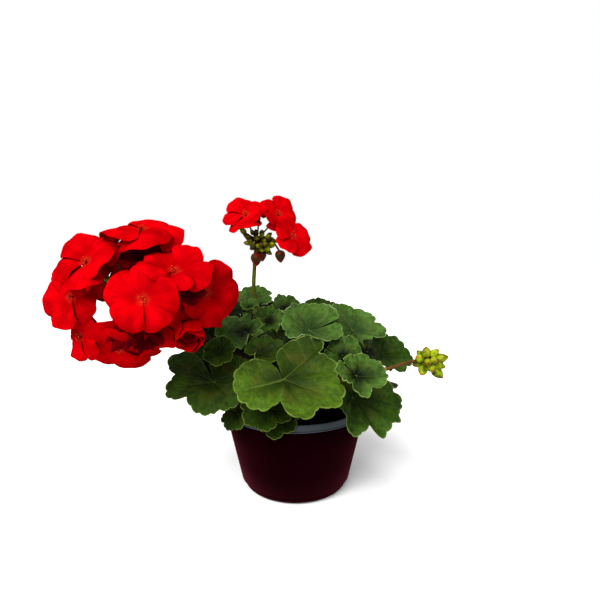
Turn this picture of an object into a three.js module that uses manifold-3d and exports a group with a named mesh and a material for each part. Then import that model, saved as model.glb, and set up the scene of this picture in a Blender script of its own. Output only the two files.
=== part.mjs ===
// A potted geranium (zonal pelargonium) in flower, in millimetres, +Z up.
// The origin is the middle of the outer pot's underside, on the surface that it stands on.
// +X is to the right and +Y away, seen from the side that the large flower head leans towards.
// Bearings are degrees round the pot's axis: 0 right, 90 back, 180 left, 270 front.
import * as THREE from "three";
import { mergeVertices } from "three/addons/utils/BufferGeometryUtils.js";
import Module from "manifold-3d";

// Driving dimensions of the pots and the soil
const POT_RIM_RADIUS = 65;
const POT_BASE_RADIUS = 48.5;
const POT_HEIGHT = 73;
const POT_WALL = 1.6;
const POT_CORNER_RADIUS = 8;
const POT_SIDES = 36;
const NESTING_GAP = 0.5;
const COLLAR_HEIGHT = 6.4;
const COLLAR_WALL = 1.5;
const COLLAR_OVERHANG = 0.2;
const BEAD_HEIGHT = 1.1;
const BEAD_DEPTH = 0.8;
const LINER_WALL = 1.2;
const LINER_BASE_RADIUS = 40;
const LINER_STAND = 1.5; // height of the grower's pot above the outer pot's floor
const DRAIN_HOLE_RADIUS = 4;
const DRAIN_HOLE_CIRCLE = 27;
const DRAIN_HOLE_COUNT = 4;
const SOIL_LEVEL = 67;

// Driving dimensions of the plant
const FACE_GAP = 0.3; // between pieces that touch
const STEM_RADIUS = 5.5;
const STEM_FOOT = 38; // height of the stem's lower end, in the soil
const SHOOT_RADIUS = 3.4;
const LEAF_THICKNESS = 0.8;
const PETIOLE_RADIUS = 1.4;
const PETAL_THICKNESS = 0.7;
const PEDUNCLE_RADIUS = 1.9;
const BUD_STALK_RADIUS = 1.6;
const PEDICEL_RADIUS = 0.8;
const CALYX_LENGTH = 6;
const CALYX_RADIUS = 2.3;
const CROWN_RADIUS = 3.4;

const wasm = await Module();
wasm.setup();

const radians = THREE.MathUtils.degToRad;
const vector = (place) => new THREE.Vector3(...place);
const joined = (solids) => solids.reduce((whole, piece) => whole.add(piece));

// A repeatable spread of numbers from -1 to 1, different for each index and use
function vary(index, use) {
  const share = index * 0.6180339887 + use * 0.7548776662;
  return 2 * (share - Math.floor(share)) - 1;
}

// The direction of a bearing, raised from the horizontal by an elevation, in degrees
function direction(bearing, elevation) {
  const level = Math.cos(radians(elevation));
  return new THREE.Vector3(
    level * Math.cos(radians(bearing)),
    level * Math.sin(radians(bearing)),
    Math.sin(radians(elevation)),
  );
}

// Meshes to solids and back

function meshSolid(places, faces) {
  return new wasm.Manifold(
    new wasm.Mesh({
      numProp: 3,
      vertProperties: new Float32Array(places),
      triVerts: new Uint32Array(faces),
    }),
  );
}

function solidOf(geometry) {
  const bare = geometry.index ? geometry.toNonIndexed() : geometry.clone();
  bare.deleteAttribute("normal");
  bare.deleteAttribute("uv");
  const merged = mergeVertices(bare, 1e-4);
  return meshSolid(merged.attributes.position.array, merged.index.array);
}

function geometryOf(solid) {
  const mesh = solid.getMesh();
  const places = new Float32Array(mesh.numVert * 3);
  for (let i = 0; i < mesh.numVert; i++) {
    const start = i * mesh.numProp;
    places.set(mesh.vertProperties.subarray(start, start + 3), i * 3);
  }
  return new THREE.BufferGeometry()
    .setAttribute("position", new THREE.BufferAttribute(places, 3))
    .setIndex(new THREE.BufferAttribute(new Uint32Array(mesh.triVerts), 1));
}

// The main body of a solid, without sealed hollows and loose scraps that joining leaves
function mainBody(solid) {
  return solid.decompose().reduce((best, body) => (body.volume() > best.volume() ? body : best));
}

// A thin solid of even thickness on both sides of a surface, from the surface's points,
// its triangles and the loop of points round its edge
function bladeSolid(points, triangles, edge, thickness) {
  const surface = new THREE.BufferGeometry().setFromPoints(points).setIndex(triangles.flat());
  surface.computeVertexNormals();
  const normals = surface.attributes.normal;
  const places = [];
  for (const offset of [thickness / 2, -thickness / 2]) {
    points.forEach((point, i) => {
      const normal = new THREE.Vector3().fromBufferAttribute(normals, i);
      places.push(...point.clone().addScaledVector(normal, offset).toArray());
    });
  }
  const under = points.length;
  const faces = [];
  for (const [a, b, c] of triangles) {
    faces.push(a, b, c, under + a, under + c, under + b);
  }
  edge.forEach((a, i) => {
    const b = edge[(i + 1) % edge.length];
    faces.push(a, under + a, under + b, a, under + b, b);
  });
  return meshSolid(places, faces);
}

// A tube of a few flat sides along a curve
function tubeSolid(curve, radius, sides, steps) {
  const corners = Array.from({ length: sides }, (_, i) => {
    const angle = (2 * Math.PI * i) / sides;
    return new THREE.Vector2(radius * Math.cos(angle), radius * Math.sin(angle));
  });
  const section = new THREE.Shape(corners);
  const settings = { extrudePath: curve, steps, bevelEnabled: false };
  return solidOf(new THREE.ExtrudeGeometry(section, settings));
}

// A swelling or tapering tube along a curve, from its [share of the curve, radius] rings
function swellingTube(curve, rings, sides) {
  const places = [];
  const faces = [];
  const across = new THREE.Vector3(0.31, 0.22, 0.93);
  for (const [share, radius] of rings) {
    const along = curve.getTangentAt(share);
    across.addScaledVector(along, -along.dot(across)).normalize();
    const over = new THREE.Vector3().crossVectors(along, across);
    for (let i = 0; i < sides; i++) {
      const angle = (2 * Math.PI * i) / sides;
      const spoke = across.clone().multiplyScalar(Math.cos(angle));
      spoke.addScaledVector(over, Math.sin(angle));
      places.push(...curve.getPointAt(share).addScaledVector(spoke, radius).toArray());
    }
  }
  for (let k = 0; k + 1 < rings.length; k++) {
    for (let i = 0; i < sides; i++) {
      const [a, b] = [k * sides + i, k * sides + ((i + 1) % sides)];
      faces.push(a, b, b + sides, a, b + sides, a + sides);
    }
  }
  const last = (rings.length - 1) * sides;
  for (let i = 1; i + 1 < sides; i++) {
    faces.push(0, i + 1, i, last, last + i, last + i + 1);
  }
  return meshSolid(places, faces);
}

// A turned solid from its [radius, height] points
function turnedSolid(profile, sides) {
  const points = profile.map(([radius, height]) => new THREE.Vector2(radius, height));
  return solidOf(new THREE.LatheGeometry(points, sides).rotateX(Math.PI / 2));
}

// Moves a solid from its own frame to the one given by its X direction, Z direction and place
function placed(solid, along, up, place) {
  const z = up.clone().normalize();
  const x = along.clone().addScaledVector(z, -along.dot(z)).normalize();
  const y = new THREE.Vector3().crossVectors(z, x);
  return solid.transform(new THREE.Matrix4().makeBasis(x, y, z).setPosition(place).elements);
}

// Outer pot: smooth maroon plastic, tapered, with a rounded foot

const potRadiusAt = (height) =>
  POT_BASE_RADIUS + ((POT_RIM_RADIUS - POT_BASE_RADIUS) * height) / POT_HEIGHT;

function outerPot() {
  const corner = [0, 30, 60, 90].map((angle) => [
    potRadiusAt(0) - POT_CORNER_RADIUS * (1 - Math.sin(radians(angle))),
    POT_CORNER_RADIUS * (1 - Math.cos(radians(angle))),
  ]);
  return turnedSolid(
    [
      [0, 0],
      ...corner,
      [potRadiusAt(POT_HEIGHT), POT_HEIGHT],
      [potRadiusAt(POT_HEIGHT) - POT_WALL, POT_HEIGHT],
      [potRadiusAt(POT_CORNER_RADIUS) - POT_WALL, POT_CORNER_RADIUS],
      [potRadiusAt(0) - POT_CORNER_RADIUS, POT_WALL],
      [0, POT_WALL],
    ],
    POT_SIDES,
  );
}

// Grower's pot: blue-grey, standing inside, with a collar that sits on the maroon rim

const LINER_BASE = POT_WALL + LINER_STAND;
const COLLAR_BASE = POT_HEIGHT + FACE_GAP;
const COLLAR_TOP = COLLAR_BASE + COLLAR_HEIGHT;
const COLLAR_RADIUS = POT_RIM_RADIUS + COLLAR_OVERHANG;
const LINER_NECK_RADIUS = POT_RIM_RADIUS - POT_WALL - NESTING_GAP;

const linerRadiusAt = (height) =>
  THREE.MathUtils.mapLinear(height, LINER_BASE, COLLAR_BASE, LINER_BASE_RADIUS, LINER_NECK_RADIUS);

function growersPot() {
  const lip = COLLAR_RADIUS - 2 * COLLAR_OVERHANG;
  const shell = turnedSolid(
    [
      [0, LINER_BASE],
      [LINER_BASE_RADIUS, LINER_BASE],
      [LINER_NECK_RADIUS, COLLAR_BASE],
      [COLLAR_RADIUS + BEAD_DEPTH, COLLAR_BASE],
      [COLLAR_RADIUS + BEAD_DEPTH, COLLAR_BASE + BEAD_HEIGHT],
      [COLLAR_RADIUS, COLLAR_BASE + BEAD_HEIGHT],
      [lip, COLLAR_TOP],
      [lip - COLLAR_WALL, COLLAR_TOP],
      [COLLAR_RADIUS - COLLAR_WALL, COLLAR_BASE + COLLAR_WALL],
      [LINER_NECK_RADIUS - LINER_WALL, COLLAR_BASE],
      [LINER_BASE_RADIUS - LINER_WALL, LINER_BASE + LINER_WALL],
      [0, LINER_BASE + LINER_WALL],
    ],
    POT_SIDES,
  );
  const holes = Array.from({ length: DRAIN_HOLE_COUNT }, (_, i) => {
    const place = direction((360 * i) / DRAIN_HOLE_COUNT, 0).multiplyScalar(DRAIN_HOLE_CIRCLE);
    const drill = new THREE.CylinderGeometry(DRAIN_HOLE_RADIUS, DRAIN_HOLE_RADIUS, 4 * LINER_WALL, 6);
    return solidOf(drill.rotateX(Math.PI / 2).translate(place.x, place.y, LINER_BASE));
  });
  return shell.subtract(joined(holes));
}

// Soil: fills the grower's pot, with a lumpy top and a plain hole for the stem

const SOIL_SIDES = 24;
const SOIL_RING_SHARES = [1, 0.7, 0.35];
const SOIL_CLEARANCE = LINER_WALL + 3 * FACE_GAP;

const soilTopAt = (x, y) =>
  SOIL_LEVEL +
  0.9 * Math.sin(x * 0.23 + 1) * Math.cos(y * 0.19) +
  0.7 * Math.sin((x + y) * 0.41) -
  0.0006 * (x * x + y * y);

function soil() {
  const floor = LINER_BASE + LINER_WALL + FACE_GAP;
  const places = [0, 0, floor];
  const addRing = (radius, heightAt) => {
    for (let i = 0; i < SOIL_SIDES; i++) {
      const { x, y } = direction((360 * i) / SOIL_SIDES, 0).multiplyScalar(radius);
      places.push(x, y, heightAt(x, y));
    }
  };
  addRing(linerRadiusAt(floor) - SOIL_CLEARANCE, () => floor);
  for (const share of SOIL_RING_SHARES) {
    addRing(share * (linerRadiusAt(SOIL_LEVEL - 5) - SOIL_CLEARANCE), soilTopAt);
  }
  places.push(0, 0, soilTopAt(0, 0));
  const faces = [];
  const lastRing = SOIL_RING_SHARES.length * SOIL_SIDES + 1;
  const middle = places.length / 3 - 1;
  for (let i = 0; i < SOIL_SIDES; i++) {
    const next = (i + 1) % SOIL_SIDES;
    faces.push(0, 1 + next, 1 + i, lastRing + i, lastRing + next, middle);
    for (let low = 1; low < lastRing; low += SOIL_SIDES) {
      const high = low + SOIL_SIDES;
      faces.push(low + i, low + next, high + next, low + i, high + next, high + i);
    }
  }
  const holeRadius = STEM_RADIUS + FACE_GAP;
  const hole = turnedSolid(
    [
      [0, STEM_FOOT - FACE_GAP],
      [holeRadius, STEM_FOOT - FACE_GAP],
      [holeRadius, COLLAR_TOP],
      [0, COLLAR_TOP],
    ],
    STEM_SIDES,
  );
  return meshSolid(places, faces).subtract(hole);
}

// Stem: a short woody trunk that forks into three shoots with rounded tips

const STEM_SIDES = 8;
const FORK = [0, 0, 80];
const SHOOTS = {
  left: [FORK, [-9, -5, 91], [-19, -11, 105], [-27, -16, 122]],
  right: [FORK, [9, -5, 91], [20, -12, 103], [30, -16, 116]],
  back: [FORK, [0, 8, 93], [-4, 15, 111], [-9, 19, 132]],
};
const SHOOT_RINGS = [
  [0, 1],
  [0.3, 1],
  [0.6, 1],
  [0.94, 0.95],
  [1, 0.5],
]; // share of the shoot's length, share of its radius

// A shoot, grown on every side by an extra thickness
function shootSolid(name, extra) {
  const points = SHOOTS[name].map(vector);
  const tip = points[points.length - 1];
  const last = tip.clone().sub(points[points.length - 2]).normalize();
  tip.addScaledVector(last, extra);
  const rings = SHOOT_RINGS.map(([share, width]) => [share, width * SHOOT_RADIUS + extra]);
  return swellingTube(new THREE.CatmullRomCurve3(points), rings, 6);
}

function stem() {
  const forkHeight = FORK[2];
  const trunk = turnedSolid(
    [
      [0, STEM_FOOT],
      [STEM_RADIUS, STEM_FOOT],
      [STEM_RADIUS, SOIL_LEVEL],
      [STEM_RADIUS - 1, forkHeight],
      [0, forkHeight + 3],
    ],
    STEM_SIDES,
  );
  return joined([trunk, ...Object.keys(SHOOTS).map((name) => shootSolid(name, 0))]);
}

// The space that the root of a leaf stalk or flower stalk leaves round the shoots
const SHOOT_CLEARANCE = joined(Object.keys(SHOOTS).map((name) => shootSolid(name, FACE_GAP)));

// Leaf: a round blade with seven scalloped lobes, notched where its stalk joins

const LAST_ANGLE = 175; // the margin's ends beside the notch of the stalk
const SCALLOP_ANGLE = 50 / 3;
const MIDDLE_STEP = 25; // between two points of the middle ring
const MIDDLE_RING = 0.56;
const SCALLOP_DEPTH = 0.05;
const PLEAT_DEPTH = 0.035;

// Notches and tips of the lobes in turn, from notch to notch, each as an angle from the middle rib
// and a share of the leaf's size. A common leaf has seven even lobes, shorter to the back.
const EVEN_LOBES = Array.from({ length: 15 }, (_, i) => {
  const angle = 25 * i - LAST_ANGLE;
  return [angle, (i % 2 ? 1 : 0.85) * (1 - 0.07 * (1 - Math.cos(radians(angle))))];
});

// Where an angle lies between a notch (0) and a tip (1), and the margin's share of the leaf's size
function lobeAt(angle, lobes) {
  const end = Math.max(1, lobes.findIndex((corner) => corner[0] >= angle - 1e-6));
  const [notch, tip] = end % 2 ? [lobes[end - 1], lobes[end]] : [lobes[end], lobes[end - 1]];
  const phase = Math.min(1, Math.abs((angle - notch[0]) / (tip[0] - notch[0])));
  const lobe = notch[1] + (tip[1] - notch[1]) * Math.sin((Math.PI / 2) * phase) ** 0.7;
  const scallop = Math.abs(Math.cos((Math.PI * angle) / SCALLOP_ANGLE));
  return { phase, share: lobe * (1 - SCALLOP_DEPTH * (1 - scallop)) };
}

// The blade's height over its own plane: a dish round the stalk, pleats on the veins, a waved margin
function leafHeight(leaf, angle, share) {
  const turn = radians(angle);
  const dish = leaf.cup * share ** 1.6;
  const pleat = -PLEAT_DEPTH * share * Math.cos(Math.PI * lobeAt(angle, leaf.lobes).phase);
  const wave = leaf.wave * share ** 3 * Math.cos(3 * turn + leaf.phase);
  const droop = leaf.droop * share ** 2 * Math.max(0, Math.cos(turn)) ** 2;
  return leaf.size * (dish - pleat + wave - droop);
}

function leafBlade(leaf) {
  const points = [new THREE.Vector3()];
  const add = (angle, share) => {
    const reach = leaf.size * lobeAt(angle, leaf.lobes).share * share;
    const turn = radians(angle);
    const height = leafHeight(leaf, angle, share);
    points.push(new THREE.Vector3(reach * Math.cos(turn), reach * Math.sin(turn), height));
    return points.length - 1;
  };
  const anglesBy = (step) => {
    return Array.from({ length: (2 * LAST_ANGLE) / step + 1.5 }, (_, k) => k * step - LAST_ANGLE);
  };
  const middle = anglesBy(MIDDLE_STEP).map((angle) => add(angle, MIDDLE_RING));
  const margin = anglesBy(MIDDLE_STEP / leaf.fineness).map((angle) => add(angle, 1));
  const triangles = [];
  for (let i = 0; i + 1 < middle.length; i++) {
    const [here, next] = [middle[i], middle[i + 1]];
    const outer = margin.slice(leaf.fineness * i, leaf.fineness * (i + 1) + 1);
    const half = Math.floor(leaf.fineness / 2);
    triangles.push([0, here, next], [here, outer[half], next]);
    for (let k = 0; k < leaf.fineness; k++) {
      triangles.push([k < half ? here : next, outer[k], outer[k + 1]]);
    }
  }
  const edge = [0, middle[0], ...margin, middle[middle.length - 1]];
  return bladeSolid(points, triangles, edge, LEAF_THICKNESS);
}

// The leaf's stalk: out from the side of a shoot and up to the notch of the blade
function petioleCurve(leaf) {
  const inside = new THREE.CatmullRomCurve3(SHOOTS[leaf.shoot].map(vector)).getPointAt(leaf.node);
  const out = leaf.place.clone().sub(inside).setZ(0).normalize();
  const root = inside.addScaledVector(out, SHOOT_RADIUS + 1);
  const reach = root.distanceTo(leaf.place);
  const start = root.clone().addScaledVector(out, reach * 0.3);
  start.z += reach * 0.12;
  const end = leaf.place
    .clone()
    .addScaledVector(leaf.up, -reach * 0.22)
    .addScaledVector(leaf.rib, -reach * 0.1);
  return new THREE.CubicBezierCurve3(root, start, end, leaf.place);
}

function leafSolid(leaf) {
  const blade = placed(leafBlade(leaf), leaf.rib, leaf.up, leaf.place);
  return blade.add(tubeSolid(petioleCurve(leaf), PETIOLE_RADIUS, 4, 3)).subtract(SHOOT_CLEARANCE);
}

// Each leaf: where its stalk joins the blade, the length of its middle rib, how far it tilts and
// towards which bearing, the bearing of its rib, how deep it cups, the shoot that it grows on, and
// its lobes where they are uneven
const LEAVES = {
  front_middle: {
    at: [-8, -80, 123], size: 46, tilt: 31, to: 268, rib: 292, cup: 0.08, on: "left",
    lobes: [
      [-175, 0.35], [-95, 0.86], [-30, 0.5], [3, 0.97], [14, 0.9], [38, 1.08],
      [66, 0.87], [79, 0.96], [102, 0.7], [113, 1.05], [175, 0.35],
    ],
  },
  front_left: {
    at: [-66.5, -54, 113], size: 37, tilt: 38, to: 250, rib: 283, cup: 0.06, on: "left",
    lobes: [
      [-175, 0.6], [-149, 1.55], [-134, 1.02], [-115, 1.16], [-74, 0.66], [-40, 0.82], [-12, 0.7],
      [20, 0.85], [60, 0.68], [85, 0.9], [118, 0.8], [146, 0.92], [175, 0.55],
    ],
  },
  low_left: { at: [-48, -48, 83], size: 16, tilt: 40, to: 235, rib: 230, cup: 0.1, on: "left" },
  low_front: { at: [-22, -66, 97], size: 24, tilt: 40, to: 265, rib: 270, cup: 0.12, on: "left" },
  rim_front: { at: [-14, -57, 84], size: 21, tilt: 30, to: 265, rib: 262, cup: 0.1, on: "left" },
  low_right: {
    at: [47, -62, 102], size: 41, tilt: 46, to: 300, rib: 338, cup: 0.1, on: "right",
    lobes: [
      [-175, 0.4], [-130, 0.5], [-95, 0.52], [-72, 0.8], [-45, 0.6], [-32, 0.97], [-13, 0.86],
      [4, 1.07], [15, 1], [29, 1.18], [39, 1.04], [50, 1.14], [74, 0.7], [100, 0.72], [130, 0.4],
      [150, 0.42], [175, 0.35],
    ],
  },
  front_right: {
    at: [46.8, -86, 127.6], size: 24, tilt: 32, to: 285, rib: 322, cup: 0.25, on: "right",
    lobes: [
      [-175, 0.5], [-145, 0.72], [-115, 0.6], [-95, 0.72], [-75, 0.64], [-50, 0.98], [-15, 0.64],
      [35, 1], [62, 0.88], [90, 0.9], [130, 0.6], [155, 0.62], [175, 0.45],
    ],
  },
  folded_right: { at: [40, -48, 134], size: 17, tilt: 35, to: 240, rib: 340, cup: 0.4, on: "right" },
  side_right: {
    at: [78, -8, 125], size: 28, tilt: 47, to: 305, rib: 345, cup: 0.15, on: "right",
    lobes: [
      [-175, 0.6], [-130, 0.7], [-80, 0.5], [-50, 0.62], [-38, 0.6], [-18, 0.9], [-8, 0.88],
      [24, 1.12], [42, 1.02], [60, 1.12], [80, 0.78], [92, 0.86], [108, 0.62], [150, 0.85],
      [175, 0.55],
    ],
  },
  upper_right: {
    at: [52, -8, 147], size: 30, tilt: 40, to: 285, rib: 80, cup: 0.15, on: "right",
    lobes: [
      [-175, 0.5], [-130, 0.75], [-100, 0.6], [-74, 1.02], [-44, 0.76], [-10, 1.08], [14, 0.85],
      [48, 1.08], [90, 0.6], [130, 0.7], [175, 0.45],
    ],
  },
  upper_middle: {
    at: [12, -20, 150], size: 31, tilt: 22, to: 268, rib: 180, cup: 0.3, on: "back",
    lobes: [
      [-175, 0.55], [-150, 0.95], [-138, 0.88], [-112, 1.08], [-98, 1], [-75, 1.2], [-60, 1.08],
      [-45, 1], [-25, 0.75], [0, 0.78], [25, 0.72], [55, 0.85], [80, 0.8], [128, 1.15],
      [175, 0.5],
    ],
  },
  top_middle: { at: [25, 25, 159], size: 22, tilt: 15, to: 90, rib: 80, cup: 0.2, on: "back" },
  top_left: { at: [-44, 35, 165], size: 26, tilt: 26, to: 250, rib: 130, cup: 0.12, on: "back" },
  top_young: { at: [-11, 25, 161], size: 17, tilt: 38, to: 262, rib: 100, cup: 0.15, on: "back" },
  upper_left: {
    at: [-43, -25, 149], size: 27, tilt: 22, to: 255, rib: 250, cup: 0.14, on: "back",
    lobes: [
      [-175, 0.6], [-158, 0.95], [-142, 0.9], [-112, 1.12], [-90, 0.95], [-67, 1], [-40, 0.68],
      [8, 0.85], [42, 0.38], [80, 0.66], [108, 0.48], [128, 0.65], [150, 0.55], [164, 0.6],
      [175, 0.4],
    ],
  },
  curled_middle: {
    at: [-23.5, -7, 155.5], size: 16, tilt: 44, to: 268, rib: 250, cup: 0.32, on: "left",
  },
  curled_left: { at: [-41, -8, 168], size: 9, tilt: 25, to: 262, rib: 290, cup: 0.5, on: "back" },
  inner_front: {
    at: [-28, -47, 135], size: 18, tilt: 38, to: 268, rib: 55, cup: 0.3, on: "left",
    lobes: [
      [-175, 0.35], [-145, 0.66], [-120, 0.58], [-72, 1.08], [-50, 0.95], [-20, 1.15], [5, 0.95],
      [25, 1], [50, 0.75], [75, 0.82], [95, 0.7], [120, 0.8], [175, 0.35],
    ],
  },
  side_left: { at: [-74, -9, 139.5], size: 25, tilt: 40, to: 240, rib: 235, cup: 0.12, on: "left" },
  left_deep: { at: [-50, 7, 134], size: 19, tilt: 45, to: 262, rib: 240, cup: 0.1, on: "back" },
  middle_deep: { at: [-2, -36, 133], size: 18, tilt: 40, to: 270, rib: 250, cup: 0.1, on: "left" },
  right_deep: { at: [62, -37, 134], size: 15, tilt: 45, to: 290, rib: 300, cup: 0.1, on: "back" },
  back_left: { at: [-80, 32, 144], size: 22, tilt: 25, to: 170, rib: 190, cup: 0.1, on: "back" },
  low_side_right: { at: [74, 20, 100], size: 30, tilt: 35, to: 10, rib: 10, cup: 0.1, on: "right" },
  back_right: { at: [56, 48, 132], size: 30, tilt: 35, to: 45, rib: 45, cup: 0.12, on: "back" },
  back_middle: { at: [5, 71, 127.5], size: 34, tilt: 40, to: 88, rib: 88, cup: 0.1, on: "back" },
  back_far_left: { at: [-49, 62, 122], size: 32, tilt: 38, to: 130, rib: 130, cup: 0.1, on: "back" },
  low_back: { at: [29, 66, 92], size: 26, tilt: 40, to: 70, rib: 70, cup: 0.1, on: "back" },
  low_back_left: { at: [-71, 28, 96], size: 27, tilt: 38, to: 160, rib: 160, cup: 0.1, on: "back" },
};

// Leaves drawn with fewer margin points: 2 or 1 for each point of the middle ring, instead of 3
const FINENESS = {
  top_middle: 2,
  top_young: 2,
  curled_left: 2,
  back_right: 2,
  back_middle: 2,
  back_far_left: 2,
  left_deep: 1,
  middle_deep: 1,
  right_deep: 1,
  back_left: 1,
  low_side_right: 1,
  low_back: 1,
  low_back_left: 1,
};

// The higher a leaf stands over its shoot, the nearer the tip it grows
function leafFrom(name, placing, index) {
  const { at, size, tilt, to, rib, cup, on, lobes = EVEN_LOBES } = placing;
  const base = new THREE.CatmullRomCurve3(SHOOTS[on].map(vector)).getPointAt(0.5);
  const rise = Math.atan2(at[2] - base.z, Math.hypot(at[0] - base.x, at[1] - base.y));
  const up = direction(to, 90 - tilt);
  const along = direction(rib, 0);
  return {
    place: vector(at),
    up,
    rib: along.addScaledVector(up, -along.dot(up)).normalize(),
    node: THREE.MathUtils.clamp(0.45 + 0.6 * rise, 0.12, 0.96),
    shoot: on,
    size,
    cup,
    lobes,
    fineness: FINENESS[name] ?? 3,
    wave: 0.07 + 0.03 * vary(index, 1),
    phase: Math.PI * vary(index, 2),
    droop: 0.1 + 0.06 * vary(index, 3),
  };
}

// Floret: five broad petals that part near the throat, each with one side raised like a pinwheel's

const PETALS = 5;
const PINWHEEL = 0.26; // rise of a petal's left side over its right, per petal length
const THROAT = 0.2; // where neighbouring petals part, in petal lengths
const PETAL_OUTLINE = [
  [0.55, -0.36],
  [0.87, -0.46],
  [1, -0.02],
  [0.9, 0.44],
  [0.56, 0.38],
]; // along the petal and across it, in petal lengths
const PETAL_MIDDLE = [0.56, 0];

// The way a floret faces, and two directions across it
function floretFrame(floret) {
  const facing = direction(floret.to, floret.raised);
  const across = new THREE.Vector3(0, 0, 1).cross(facing).normalize();
  return { facing, across, over: new THREE.Vector3().crossVectors(facing, across) };
}

function floretSolid(floret) {
  const points = [new THREE.Vector3()];
  // Adds a point by its place on a flat petal, which is then wrapped on a cone of the given lift
  const add = (heading, [along, aside], lift, crown) => {
    const length = Math.hypot(along, aside);
    const angle = heading + Math.atan2(aside, along);
    const height = length * Math.sin(lift) + PINWHEEL * aside - 0.3 * aside * aside + crown;
    const reach = length * Math.cos(lift);
    const place = new THREE.Vector3(reach * Math.cos(angle), reach * Math.sin(angle), height);
    points.push(place.multiplyScalar(floret.size));
    return points.length - 1;
  };
  const sector = (2 * Math.PI) / PETALS;
  const cup = radians(floret.cup);
  const petals = Array.from({ length: PETALS }, (_, i) => i);
  const throats = petals.map((i) => add(sector * (i - 0.5), [THROAT, 0], cup / 2, 0));
  const triangles = [];
  const edge = [];
  for (const i of petals) {
    const lift = cup + 0.14 * vary(i, floret.turn);
    const middle = add(sector * i, PETAL_MIDDLE, lift, 0.05);
    const outline = PETAL_OUTLINE.map((place, k) => {
      return add(sector * i, place, lift, 0.05 * vary(k + i, floret.turn + 3));
    });
    const [start, end] = [throats[i], throats[(i + 1) % PETALS]];
    const loop = [start, ...outline, end];
    triangles.push([0, start, middle], [0, middle, end]);
    for (let k = 0; k + 1 < loop.length; k++) triangles.push([middle, loop[k], loop[k + 1]]);
    edge.push(start, ...outline);
  }
  const { facing, across, over } = floretFrame(floret);
  const turn = radians(floret.turn);
  const first = across.clone().multiplyScalar(Math.cos(turn)).addScaledVector(over, Math.sin(turn));
  return placed(bladeSolid(points, triangles, edge, PETAL_THICKNESS), first, facing, vector(floret.at));
}

// Flower heads: thin stalks with a calyx or a bud at the end, from one swollen crown on a long stalk.
// Each can be grown on every side by an extra thickness, to cut its clearance out of the petals.

function pedicelSolid(floret, crown, extra) {
  const { facing } = floretFrame(floret);
  const top = vector(floret.at).addScaledVector(facing, extra - PETAL_THICKNESS / 2 - 2 * FACE_GAP);
  const neck = vector(floret.at).addScaledVector(facing, -CALYX_LENGTH);
  const bend = crown.clone().lerp(neck, 0.6).addScaledVector(facing, -4);
  const curve = new THREE.CatmullRomCurve3([crown, bend, neck, top]);
  const neckShare = 1 - CALYX_LENGTH / curve.getLength();
  const radius = PEDICEL_RADIUS + extra;
  const rings = [
    [0, radius],
    [neckShare * 0.6, radius],
    [neckShare, radius + 0.2],
    [1, CALYX_RADIUS + extra],
  ];
  return swellingTube(curve, rings, 4);
}

function budSolid(bud, crown, extra) {
  const centre = vector(bud.at);
  const away = bud.hangs ? new THREE.Vector3(0.1, -0.1, -1) : centre.clone().sub(crown);
  away.normalize();
  const foot = centre.clone().addScaledVector(away, -bud.size / 2);
  const tip = centre.clone().addScaledVector(away, bud.size / 2);
  const bend = crown.clone().lerp(foot, 0.6);
  if (bud.hangs) bend.z += 5;
  const curve = new THREE.CatmullRomCurve3([crown, bend, foot, tip]);
  const budShare = bud.size / curve.getLength();
  const rings = [
    [0, PEDICEL_RADIUS + extra],
    [1 - budShare, PEDICEL_RADIUS + extra],
    [1 - budShare * 0.62, bud.size * 0.33 + extra],
    [1 - budShare * 0.25, bud.size * 0.27 + extra],
    [1, 0.4 + extra],
  ];
  return swellingTube(curve, rings, 5);
}

function stalkSolid({ route, crown, radius, florets, buds }, extra) {
  const top = vector(crown);
  const peduncle = new THREE.CatmullRomCurve3([...route, crown].map(vector));
  const knob = new THREE.SphereGeometry(CROWN_RADIUS + extra, 6, 4).translate(...crown);
  return joined([
    tubeSolid(peduncle, radius + extra, 6, 6),
    solidOf(knob),
    ...Object.values(florets).map((floret) => pedicelSolid(floret, top, extra)),
    ...buds.map((bud) => budSolid(bud, top, extra)),
  ]).subtract(SHOOT_CLEARANCE);
}

// Each floret: its middle, the bearing that it faces and how far it is raised from level, its turn,
// the length of its petals, and how far they rise from flat. The long stalks start in a shoot's tip.

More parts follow.
